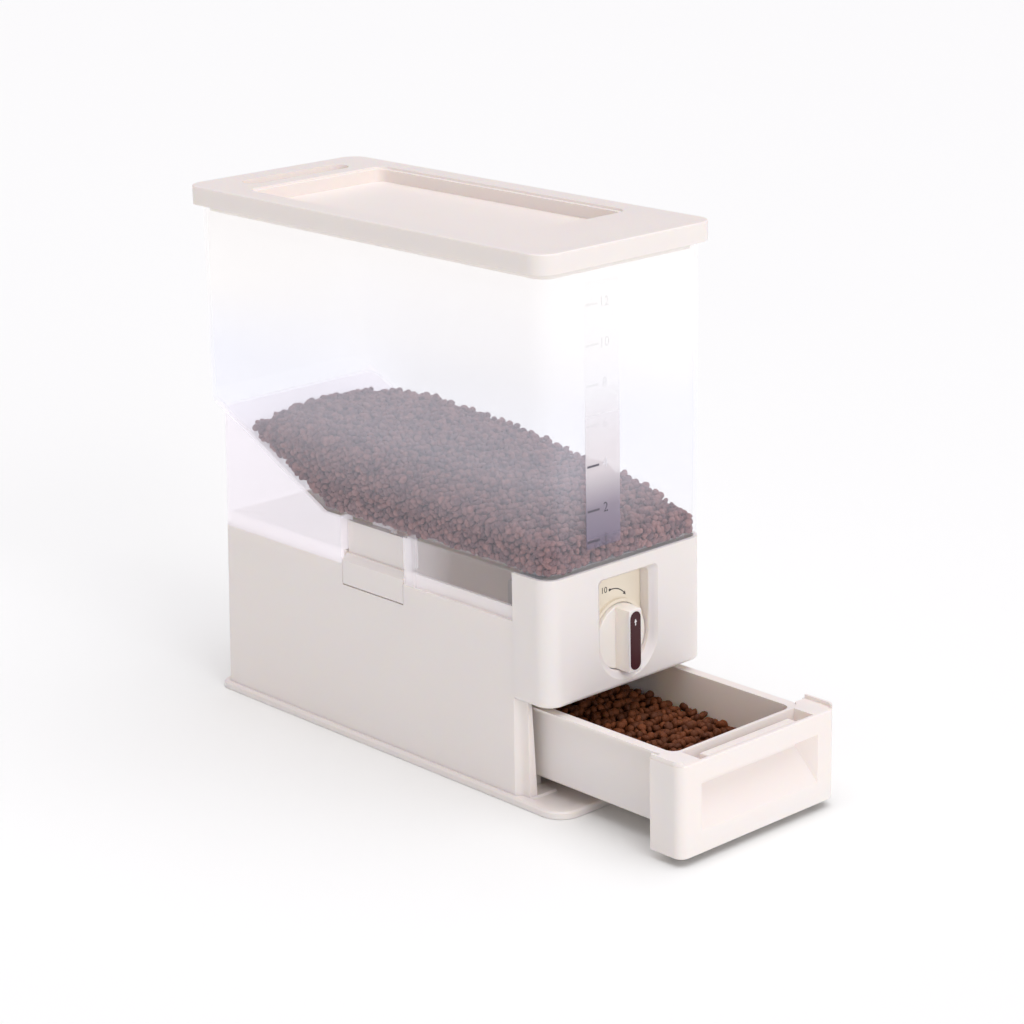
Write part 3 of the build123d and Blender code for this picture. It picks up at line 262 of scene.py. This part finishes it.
def lettering(text, size, thickness):
    """Mesh of a line of text that faces -Y, centred on its own middle."""
    curve = bpy.data.curves.new("lettering", "FONT")
    curve.body = text
    curve.size = size
    curve.extrude = thickness / 2
    curve.align_x = "CENTER"
    curve.align_y = "CENTER"
    holder = bpy.data.objects.new("lettering", curve)
    scene.collection.objects.link(holder)
    mesh = bpy.data.meshes.new_from_object(holder.evaluated_get(bpy.context.evaluated_depsgraph_get()))
    bpy.data.objects.remove(holder)
    bpy.data.curves.remove(curve)
    mesh.transform(Matrix.Rotation(math.pi / 2, 4, "X"))
    return mesh


def on_arc(angle, off=0.0):
    """Point on the turning arc, off outside it."""
    return ARC_X + (ARC_R + off) * math.cos(angle), ARC_Z + (ARC_R + off) * math.sin(angle)


# Painted bounce light: the plate's cream is yellower than that of the other pieces.
plate_painted_bounce, _ = moulded("dial_plate_plastic", PLATE_PAINTED_PALE, PLATE_PAINTED_DEEP, sheen=0.48)
dress(plate_painted_bounce, "dial_plate")
dark_ink = printed_ink("dark_print", DARK_INK)
bm = bmesh.new()
bend = [ARC_FROM + (ARC_TO - ARC_FROM) * i / BEND_STEPS for i in range(BEND_STEPS + 1)]
outer_edge = [on_arc(a, ARC_WIDTH / 2) for a in bend]
inner_edge = [on_arc(a, -ARC_WIDTH / 2) for a in reversed(bend)]
outline_face(bm, outer_edge + inner_edge, INK_LIFT)
arrow_tip = on_arc(ARC_TO - 2 * HEAD / ARC_R)
outline_face(bm, [arrow_tip, on_arc(ARC_TO, -HEAD), on_arc(ARC_TO, HEAD)], INK_LIFT)
dot_x, dot_z = on_arc(ARC_FROM)
around = [t * math.tau / DOT_STEPS for t in range(DOT_STEPS)]
dot = [(dot_x + DOT_R * math.cos(t), dot_z + DOT_R * math.sin(t)) for t in around]
outline_face(bm, dot, INK_LIFT)
bmesh.ops.recalc_face_normals(bm, faces=bm.faces)
bmesh.ops.translate(bm, verts=bm.verts, vec=(0, PLATE_FACE - INK_LIFT * 1.5, 0))
turn_mark = piece_from("dial_plate_turn_mark", bm, dark_ink, "root")
number = lettering("10", NUMBER_SIZE, INK_LIFT)
number.transform(Matrix.Translation((NUMBER_X, PLATE_FACE - INK_LIFT, NUMBER_Z)))
bm = bmesh.new()
bm.from_mesh(number)
plate_number = piece_from("dial_plate_number", bm, dark_ink, "root")

# Dial inlay: a dark maroon strip let into the face of the grip bar, glossy, with a small white
# arrow printed near its upper end.
MAROON_LIGHT = (0.062, 0.008, 0.012, 1)
MAROON_DEEP = (0.046, 0.006, 0.009, 1)
ARROW_Z = 116.5 * MM
ARROW_H = 4.6 * MM
ARROW_HEAD = 2.4 * MM
ARROW_SHAFT = 0.8 * MM
WHITE_INK = (0.72, 0.70, 0.69, 1)
maroon, maroon_shader = moulded("maroon_plastic", MAROON_LIGHT, MAROON_DEEP, sheen=0.34,
                                grain_scale=3000, grain_depth=0.000003)
maroon_shader.inputs["Specular IOR Level"].default_value = 0.3
dress(maroon, "dial_inlay")
inlay_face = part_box("dial_inlay")[0].y
low = ARROW_Z - ARROW_H / 2
top = ARROW_Z + ARROW_H / 2
neck = top - ARROW_HEAD
arrow_outline = [(-ARROW_SHAFT / 2, low), (ARROW_SHAFT / 2, low), (ARROW_SHAFT / 2, neck),
                 (ARROW_HEAD / 2, neck), (0, top), (-ARROW_HEAD / 2, neck), (-ARROW_SHAFT / 2, neck)]
bm = bmesh.new()
outline_face(bm, arrow_outline, INK_LIFT)
bmesh.ops.recalc_face_normals(bm, faces=bm.faces)
bmesh.ops.translate(bm, verts=bm.verts, vec=(0, inlay_face - INK_LIFT, 0))
arrow = piece_from("dial_inlay_arrow", bm, printed_ink("white_print", WHITE_INK), "dial")

# Hopper: one clear moulding. The tub is clear with a slight milkiness, and everything below its
# floor, the skirt that stands on the base and the funnel, is frosted by the tool. Both glow a little
# in their own tint, which is painted light, and the frosting is painted brighter towards the back,
# where light from behind shines through it.
FROST_BELOW = 158.5 * MM
SLOPE_FOOT_Y = 47.5 * MM
SLOPE_RISE = math.tan(math.radians(26))
SKIRT_BACK = 164.9 * MM
SHARP_EDGE = math.radians(28)
TINT_UP_TO = 0.255
CLEAR_FROM = 0.300


def height_ramp(tree, low, high, stops):
    """Colour ramp that runs up the object from one height to another."""
    place = tree.nodes.new("ShaderNodeTexCoord")
    split = tree.nodes.new("ShaderNodeSeparateXYZ")
    span = tree.nodes.new("ShaderNodeMapRange")
    ramp = tree.nodes.new("ShaderNodeValToRGB")
    tree.links.new(place.outputs["Object"], split.inputs["Vector"])
    tree.links.new(split.outputs["Z"], span.inputs["Value"])
    span.inputs["From Min"].default_value = low
    span.inputs["From Max"].default_value = high
    tree.links.new(span.outputs["Result"], ramp.inputs["Fac"])
    while len(ramp.color_ramp.elements) < len(stops):
        ramp.color_ramp.elements.new(0.5)
    for element, (position, colour) in zip(ramp.color_ramp.elements, stops):
        element.position = position
        element.color = colour
    return ramp.outputs["Color"]


def see_through(name, colour, axis, start, end, low_alpha, high_alpha, edge_alpha, sheen, tint, painted_glow):
    """Thin milky plastic, whose veil thickens along one axis and where the wall is seen edge on, and
    which glows a little in its own tint: painted light.
    """
    material, tree, shader = new_material(name)
    place = tree.nodes.new("ShaderNodeTexCoord")
    split = tree.nodes.new("ShaderNodeSeparateXYZ")
    climb = tree.nodes.new("ShaderNodeMapRange")
    tree.links.new(place.outputs["Object"], split.inputs["Vector"])
    tree.links.new(split.outputs[axis], climb.inputs["Value"])
    climb.inputs["From Min"].default_value = start
    climb.inputs["From Max"].default_value = end
    climb.inputs["To Min"].default_value = low_alpha
    climb.inputs["To Max"].default_value = high_alpha
    edge = tree.nodes.new("ShaderNodeLayerWeight")
    edge.inputs["Blend"].default_value = 0.3
    rim = arithmetic(tree, "MULTIPLY", edge.outputs["Facing"], edge_alpha)
    tree.links.new(arithmetic(tree, "ADD", climb.outputs["Result"], rim), shader.inputs["Alpha"])
    haze = scaled_noise(tree, 40, 3)
    rough = arithmetic(tree, "ADD", arithmetic(tree, "MULTIPLY", haze.outputs["Fac"], 0.06), sheen)
    tree.links.new(rough, shader.inputs["Roughness"])
    fade = height_ramp(tree, TINT_UP_TO, CLEAR_FROM, [(0.0, tint), (1.0, colour)])
    tree.links.new(fade, shader.inputs["Base Color"])
    tree.links.new(fade, shader.inputs["Emission Color"])
    shader.inputs["Emission Strength"].default_value = painted_glow
    shader.inputs["IOR"].default_value = 1.49
    material.surface_render_method = "BLENDED"
    return material


# Painted light: both plastics glow through their emission.
clear = see_through("clear_plastic", (0.985, 0.965, 0.945, 1), axis="Z", start=0.175, end=0.225,
                    low_alpha=0.035, high_alpha=0.145, edge_alpha=0.12, sheen=0.08,
                    tint=(0.88, 0.90, 1.0, 1), painted_glow=0.25)
# Painted light: the skirt's veil thickens towards +Y, so the skirt is brighter at the back, where light
# from behind shines through it.
frosted = see_through("frosted_plastic_painted_backlight", (0.97, 0.92, 0.91, 1), axis="Y", start=-0.085, end=0.035,
                      low_alpha=0.05, high_alpha=0.52, edge_alpha=0.20, sheen=0.45,
                      tint=(0.96, 0.93, 0.97, 1), painted_glow=0.23)


def merged_copy(node_name):
    """Copy of a CAD piece whose triangles are joined, with its flat and round faces told apart."""
    bm = bmesh.new()
    bm.from_mesh(nodes[node_name].data)
    bmesh.ops.remove_doubles(bm, verts=bm.verts, dist=0.01 * MM)
    for edge in bm.edges:
        edge.smooth = edge.calc_face_angle(math.pi) < SHARP_EDGE
    for face in bm.faces:
        face.smooth = True
    return bm


bm = merged_copy("hopper")
for face in bm.faces:
    middle = face.calc_center_median()
    under_slope = FROST_BELOW + max(0, middle.y - SLOPE_FOOT_Y) * SLOPE_RISE
    face.material_index = 1 if middle.z < under_slope and middle.y < SKIRT_BACK else 0
hopper_shell = piece_from("hopper_shell", bm, clear, "root")
hopper_shell.data.materials.append(frosted)
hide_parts("hopper")

# Level gauge: a frosted film on the front wall of the hopper, printed with a tick and a number for
# each mark. The film is densest at the bottom and fades out towards the top, and so does the print.
GAUGE_MARKS = ((177.7, "1"), (198.0, "2"), (227.5, "4"), (253.8, "6"), (280.0, "8"), (306.0, "10"),
               (332.0, "12"))
FILM_SPAN = (0.173, 0.347)
FILM_THICKNESS = 0.5 * MM
PRINT_SPAN = (0.170, 0.345)
TICK_LEFT = -37.0 * MM
TICK_LENGTH = 10.5 * MM
TICK_HEIGHT = 1.4 * MM
DIGIT_X = -21.0 * MM
DIGIT_SIZE = 9.0 * MM


def grey(value):
    """Grey as a colour ramp takes it."""
    return value, value, value, 1


def graded(name, span, colours, densities):
    """See-through material whose colour and density change with height."""
    material, tree, shader = new_material(name)
    tree.links.new(height_ramp(tree, *span, colours), shader.inputs["Base Color"])
    density = height_ramp(tree, *span, [(place, grey(value)) for place, value in densities])
    tree.links.new(density, shader.inputs["Alpha"])
    shader.inputs["Roughness"].default_value = 0.5
    material.surface_render_method = "BLENDED"
    return material, tree, shader


film, tree, shader = graded(
    "gauge_film", FILM_SPAN,
    [(0.0, (0.29, 0.25, 0.35, 1)), (0.15, (0.40, 0.36, 0.44, 1)), (0.29, (0.90, 0.85, 0.87, 1)),
     (1.0, (0.98, 0.95, 0.95, 1))],
    [(0.0, 0.25), (0.05, 0.55), (0.36, 0.55), (0.62, 0.03)])
haze = arithmetic(tree, "MULTIPLY", scaled_noise(tree, 60, 3).outputs["Fac"], 0.1)
tree.links.new(arithmetic(tree, "ADD", haze, 0.3), shader.inputs["Roughness"])
dress(film, "level_gauge")
tick_ink, _, _ = graded(
    "gauge_ticks", PRINT_SPAN,
    [(0.0, (0.13, 0.12, 0.15, 1)), (0.34, (0.15, 0.14, 0.17, 1)), (0.44, (0.86, 0.85, 0.86, 1)),
     (1.0, (0.92, 0.91, 0.92, 1))],
    [(0.0, 0.65), (0.34, 0.8), (0.44, 0.10), (1.0, 0.04)])
digit_ink, _, _ = graded(
    "gauge_digits", PRINT_SPAN,
    [(0.0, (0.16, 0.15, 0.19, 1)), (0.21, (0.16, 0.15, 0.19, 1)), (0.24, (0.88, 0.86, 0.90, 1)),
     (1.0, (0.9, 0.89, 0.91, 1))],
    [(0.0, 0.45), (0.24, 0.5), (0.36, 0.8), (0.44, 0.12)])
gauge_low, gauge_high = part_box("level_gauge")
gauge_lean = (gauge_high.y - gauge_low.y - FILM_THICKNESS) / (gauge_high.z - gauge_low.z)
tick_right = TICK_LEFT + TICK_LENGTH
ticks = bmesh.new()
digits = bmesh.new()
for z, text in GAUGE_MARKS:
    z *= MM
    front = gauge_high.y - FILM_THICKNESS - gauge_lean * (z - gauge_low.z) - INK_LIFT * 2
    low = z - TICK_HEIGHT / 2
    top = z + TICK_HEIGHT / 2
    before = set(ticks.verts)
    tick = [(TICK_LEFT, low), (tick_right, low), (tick_right, top), (TICK_LEFT, top)]
    outline_face(ticks, tick, INK_LIFT)
    bmesh.ops.translate(ticks, verts=[v for v in ticks.verts if v not in before], vec=(0, front, 0))
    line = lettering(text, DIGIT_SIZE, INK_LIFT)
    line.transform(Matrix.Translation((DIGIT_X, front, z)))
    digits.from_mesh(line)
bmesh.ops.recalc_face_normals(ticks, faces=ticks.faces)
gauge_ticks = piece_from("level_gauge_ticks", ticks, tick_ink, "root")
gauge_digits = piece_from("level_gauge_digits", digits, digit_ink, "root")

# Food in the hopper: small baked discs, 5 to 6.5 mm across, in a heap on its floor. Each is a
# squashed, dented ball. They lie as close as balls in a box do, each shaken a little out of its
# place, and only those that can be seen are there.
KIBBLE_R = 2.65 * MM
KIBBLE_FORM = (1.08, 0.98, 0.70)
KIBBLE_SHAPES = 6
PITCH = 4.95 * MM
SHAKE = 0.8 * MM
SKIN = 9.5 * MM
ROW_STEP = 0.866
LAYER_STEP = 0.8165
LAYER_SHIFT = 0.2887
REACH_OVER = 0.4
PER_PIECE = 2300
TUB_X = 69.5 * MM
TUB_FRONT = -173.5 * MM
TUB_CORNER_R = 11.6 * MM
TUB_BACK = 0.152
HEAP_LIMIT = 0.224
FLOOR_Z = 161.0 * MM
FUNNEL_X = 62.0 * MM
FUNNEL_FRONT = -151.0 * MM
FUNNEL_BACK = -45.0 * MM
THROAT_X = 20.0 * MM
THROAT_FRONT = -146.0 * MM
THROAT_BACK = -98.0 * MM
THROAT_Z = 139.0 * MM
shuffle = random.Random(20260)


def profile(*points):
    """Table of (place, height), given in millimetres."""
    return [(place * MM, height * MM) for place, height in points]


HEAP_NEAR = profile((-176, 182), (-150, 188), (-100, 192), (-60, 197), (-25, 199), (0, 206), (28, 212),
                    (60, 213), (95, 210), (150, 201))
HEAP_FAR = profile((-176, 170), (-147, 179), (-120, 187), (-60, 194), (-28, 200), (41, 206), (100, 207),
                   (150, 206))
HEAP_CROWN = profile((-176, 0), (-60, 1), (60, 4), (150, 6))


def kibble_shape(seed):
    """Mesh of one piece of kibble, about its own middle."""
    dents = Vector((seed * 7.3, seed * 3.1, seed * 5.7))
    bm = bmesh.new()
    bmesh.ops.create_icosphere(bm, subdivisions=2, radius=KIBBLE_R)
    for v in bm.verts:
        way = v.co.normalized()
        v.co *= 1 + 0.16 * noise.noise(way * 1.3 + dents) + 0.05 * noise.noise(way * 4 + dents)
    bmesh.ops.scale(bm, vec=KIBBLE_FORM, verts=bm.verts)
    for face in bm.faces:
        face.smooth = True
    mesh = bpy.data.meshes.new("kibble_shape")
    bm.to_mesh(mesh)
    bm.free()
    return mesh


kibble_shapes = [kibble_shape(seed) for seed in range(KIBBLE_SHAPES)]


def along(value, stops):
    """Straight-line reading of a table of (place, value)."""
    if value <= stops[0][0]:
        return stops[0][1]
    for (x0, v0), (x1, v1) in zip(stops, stops[1:]):
        if value <= x1:
            return v0 + (v1 - v0) * (value - x0) / (x1 - x0)
    return stops[-1][1]


def heap_top(x, y):
    """Height of the heap in the hopper."""
    share = (x + TUB_X) / (2 * TUB_X)
    crown = along(y, HEAP_CROWN) * 4 * share * (1 - share)
    ripple = 2.5 * MM * noise.noise(Vector((x * 28, y * 28, 0.0)))
    return along(y, HEAP_NEAR) * (1 - share) + along(y, HEAP_FAR) * share + crown + ripple


def heap_floor(x, y):
    """Height of the hopper's floor, with its funnel."""
    if y > SLOPE_FOOT_Y:
        return FLOOR_Z + (y - SLOPE_FOOT_Y) * SLOPE_RISE
    into = min((FUNNEL_X - abs(x)) / (FUNNEL_X - THROAT_X),
               (y - FUNNEL_FRONT) / (THROAT_FRONT - FUNNEL_FRONT),
               (FUNNEL_BACK - y) / (FUNNEL_BACK - THROAT_BACK))
    return FLOOR_Z - (FLOOR_Z - THROAT_Z) * min(1.0, max(0.0, into))


def in_hopper(p):
    """Where the kibble at p comes to lie in the hopper: against a wall, on the floor, or nowhere."""
    reach = TUB_X - KIBBLE_R * 0.72
    front = TUB_FRONT + KIBBLE_R * 0.72
    if abs(p.x) > reach + PITCH * REACH_OVER or p.y < front - PITCH * REACH_OVER:
        return None
    at = Vector((min(reach, max(-reach, p.x)), max(front, p.y), p.z))
    off = Vector((max(0, abs(at.x) - TUB_X + TUB_CORNER_R), max(0, TUB_FRONT + TUB_CORNER_R - at.y)))
    if off.length > TUB_CORNER_R - KIBBLE_R:
        inward = 1 - (TUB_CORNER_R - KIBBLE_R) / off.length
        at.x -= math.copysign(off.x * inward, at.x)
        at.y += off.y * inward
    bottom = heap_floor(at.x, at.y) + KIBBLE_R * (0.6 if at.y > SLOPE_FOOT_Y else 0.45)
    if p.z < bottom - PITCH * REACH_OVER:
        return None
    at.z = max(bottom, p.z)
    depth = heap_top(at.x, at.y) - KIBBLE_R * 0.7 - at.z
    side = min(reach - abs(at.x), at.y - front)
    seen = depth < SKIN or side < SKIN * 0.7 or at.z - bottom < PITCH * 0.8
    return at if depth > 0 and seen else None


def packed(low, high, settle, pitch):
    """Places of the kibbles in a box: a close packing, tilted and shaken, settled one by one."""
    middle = (Vector(low) + Vector(high)) / 2
    tilt = Quaternion((1, 0.35, 0.2), 0.7).to_matrix()
    steps = int((Vector(high) - Vector(low)).length / pitch / 1.5) + 2
    reach = range(-steps, steps + 1)
    places = []
    for k, j, i in itertools.product(reach, reach, reach):
        across = i + (j % 2) * 0.5 + (k % 2) * 0.5
        site = Vector((across, j * ROW_STEP + (k % 2) * LAYER_SHIFT, k * LAYER_STEP)) * pitch
        p = middle + tilt @ site
        if all(a - pitch < c < b + pitch for a, c, b in zip(low, p, high)):
            p += Vector([shuffle.uniform(-SHAKE, SHAKE) for _ in range(3)])
            place = settle(p)
            if place:
                places.append(place)
    return places


def baked(name, dark, light, crumb):
    """Crust of the kibble: each piece has its own tone, with pores and paler crumbs on it."""
    material, tree, shader = new_material(name)
    island = tree.nodes.new("ShaderNodeNewGeometry")
    pores = scaled_noise(tree, 1400, 4)
    crust = scaled_noise(tree, 350, 3)
    tone = blend_colours(tree, island.outputs["Random Per Island"], dark, light)
    tone = blend_colours(tree, arithmetic(tree, "MULTIPLY", crust.outputs["Fac"], 0.55), tone, crumb)
    tree.links.new(tone, shader.inputs["Base Color"])
    shader.inputs["Specular IOR Level"].default_value = 0.3
    rough = arithmetic(tree, "ADD", arithmetic(tree, "MULTIPLY", pores.outputs["Fac"], 0.25), 0.5)
    tree.links.new(rough, shader.inputs["Roughness"])
    bump = tree.nodes.new("ShaderNodeBump")
    bump.inputs["Distance"].default_value = 0.0004
    tree.links.new(pores.outputs["Fac"], bump.inputs["Height"])
    tree.links.new(bump.outputs["Normal"], shader.inputs["Normal"])
    return material


def pour(name, places, crust, scale, body):
    """One mesh with a piece of kibble at each place."""
    bm = bmesh.new()
    for p in places:
        shape = shuffle.choice(kibble_shapes)
        turn = Quaternion([shuffle.gauss(0, 1) for _ in range(4)]).normalized()
        size = scale * shuffle.uniform(0.86, 1.12)
        put = Matrix.Translation(p) @ turn.to_matrix().to_4x4() @ Matrix.Scale(size, 4)
        shape.transform(put)
        bm.from_mesh(shape)
        shape.transform(put.inverted())
    return piece_from(name, bm, crust, body)


# Painted light: the hopper's kibble is a paler, bluer copy of the drawer's, standing in for the light
# and the bluish shade it gets behind the clear walls.
hopper_crust_painted_light = baked("kibble_in_hopper_painted_light", dark=(0.075, 0.030, 0.046, 1), light=(0.290, 0.132, 0.120, 1),
                     crumb=(0.36, 0.19, 0.165, 1))
hopper_low = (-TUB_X, TUB_FRONT, THROAT_Z)
hopper_high = (TUB_X, TUB_BACK, HEAP_LIMIT)
hopper_places = packed(hopper_low, hopper_high, in_hopper, PITCH)
hopper_places.sort(key=lambda p: p.y)
for count, start in enumerate(range(0, len(hopper_places), PER_PIECE), 1):
    some = hopper_places[start:start + PER_PIECE]
    pour(f"hopper_food_{count}", some, hopper_crust_painted_light, 1.0, "root")

# Food in the drawer: the same kibble in its own redder, darker colours, without the painted light
# of the hopper's copy, and a little larger. It fills about half of the drawer's tub and goes where
# the drawer goes.
DRAWER_X = 52.6 * MM
DRAWER_FRONT = -268.1 * MM
DRAWER_BACK = -52.5 * MM
DRAWER_FLOOR = 16.5 * MM
DRAWER_FLARE = 0.038
DRAWER_SIZE = 1.17
DRAWER_HEAP_LIMIT = 0.052
DRAWER_HEAP = profile((-268, 40), (-200, 44), (-120, 46), (-52, 42))


def in_drawer(p):
    """Where the kibble at p comes to lie in the drawer, or nowhere."""
    radius = KIBBLE_R * DRAWER_SIZE
    reach = DRAWER_X - radius * 0.92 + (p.z - DRAWER_FLOOR) * DRAWER_FLARE
    at = Vector((min(reach, max(-reach, p.x)), p.y, p.z))
    if abs(p.x - at.x) > PITCH * REACH_OVER or min(p.y - DRAWER_FRONT, DRAWER_BACK - p.y) < radius:
        return None
    top = along(p.y, DRAWER_HEAP) + 2.5 * MM * noise.noise(Vector((p.x * 30, p.y * 30, 4.0)))
    return at if 0 < top - abs(p.x) * 0.03 - at.z < SKIN * 1.2 else None


drawer_crust = baked("kibble_in_drawer", dark=(0.050, 0.009, 0.002, 1), light=(0.190, 0.048, 0.012, 1),
                     crumb=(0.22, 0.072, 0.022, 1))
drawer_low = (-DRAWER_X, DRAWER_FRONT, DRAWER_FLOOR)
drawer_high = (DRAWER_X, DRAWER_BACK, DRAWER_HEAP_LIMIT)
drawer_places = packed(drawer_low, drawer_high, in_drawer, PITCH * DRAWER_SIZE)
pour("drawer_food", drawer_places, drawer_crust, DRAWER_SIZE, "drawer")

# Stage: a plain pale paper floor that runs out of the picture, soft light from the front and from
# above, a pale sky that lights less than it shows, and the camera at the photograph's angle.
FLOOR_SIZE = 60.0
FLOOR_DROP = 0.3 * MM
PAPER_LIGHT = (0.965, 0.985, 0.96, 1)
PAPER_DEEP = (0.96, 0.98, 0.955, 1)
SKY_LIGHT = (0.38, 0.3572, 0.3743, 1)
SKY_SEEN = (0.975, 0.965, 0.97, 1)
bm = bmesh.new()
bmesh.ops.create_grid(bm, x_segments=1, y_segments=1, size=FLOOR_SIZE / 2)
floor_mesh = bpy.data.meshes.new("studio_floor")
bm.to_mesh(floor_mesh)
bm.free()
floor_mesh.transform(Matrix.Translation((0, 0, -FLOOR_DROP)))
studio_floor = bpy.data.objects.new("studio_floor", floor_mesh)
scene.collection.objects.link(studio_floor)
paper, _ = moulded("studio_paper", PAPER_LIGHT, PAPER_DEEP, sheen=0.8, grain_scale=900, drift_scale=2)
floor_mesh.materials.append(paper)

world = bpy.data.worlds.new("studio_air")
scene.world = world
scene.view_settings.view_transform = "Standard"
world.use_nodes = True
looking = world.node_tree.nodes.new("ShaderNodeLightPath")
sky = blend_colours(world.node_tree, looking.outputs["Is Camera Ray"], SKY_LIGHT, SKY_SEEN)
world.node_tree.links.new(sky, world.node_tree.nodes["Background"].inputs["Color"])


def far_light(name, direction, strength, spread, colour):
    """Wide light from far away, so that the floor is as bright behind the object as before it."""
    lamp = bpy.data.lights.new(name, "SUN")
    lamp.energy = strength
    lamp.angle = spread
    lamp.color = colour
    holder = bpy.data.objects.new(name, lamp)
    holder.rotation_mode = "QUATERNION"
    holder.rotation_quaternion = Vector(direction).to_track_quat("Z", "Y")
    scene.collection.objects.link(holder)


far_light("front_light", (-0.05, -0.28, 0.10), strength=0.86, spread=math.radians(35),
          colour=(0.96, 0.965, 1.0))
far_light("top_light", (0.02, -0.05, 0.35), strength=1.87, spread=math.radians(70),
          colour=(0.98, 0.968, 1.0))

CAMERA_TARGET = Vector((0.0608, 0.0, 0.1769))
CAMERA_DISTANCE = 1.9719
CAMERA_AZIMUTH = math.radians(-42.476)
CAMERA_ELEVATION = math.radians(16.127)
CAMERA_ROLL = math.radians(-1.22)
CAMERA_LENS = 98.84
CAMERA_SHIFT_Y = -0.0508
camera_data = bpy.data.cameras.new("portrait_camera")
camera_data.lens = CAMERA_LENS
camera_data.shift_y = CAMERA_SHIFT_Y
camera_data.clip_start = 0.05
camera_data.clip_end = 50
camera = bpy.data.objects.new("portrait_camera", camera_data)
away = Vector((math.sin(CAMERA_AZIMUTH) * math.cos(CAMERA_ELEVATION),
               -math.cos(CAMERA_AZIMUTH) * math.cos(CAMERA_ELEVATION), math.sin(CAMERA_ELEVATION)))
camera.location = CAMERA_TARGET + away * CAMERA_DISTANCE
camera.rotation_mode = "QUATERNION"
camera.rotation_quaternion = (-away).to_track_quat("-Z", "Y") @ Quaternion((0, 0, 1), CAMERA_ROLL)
scene.collection.objects.link(camera)
scene.camera = camera
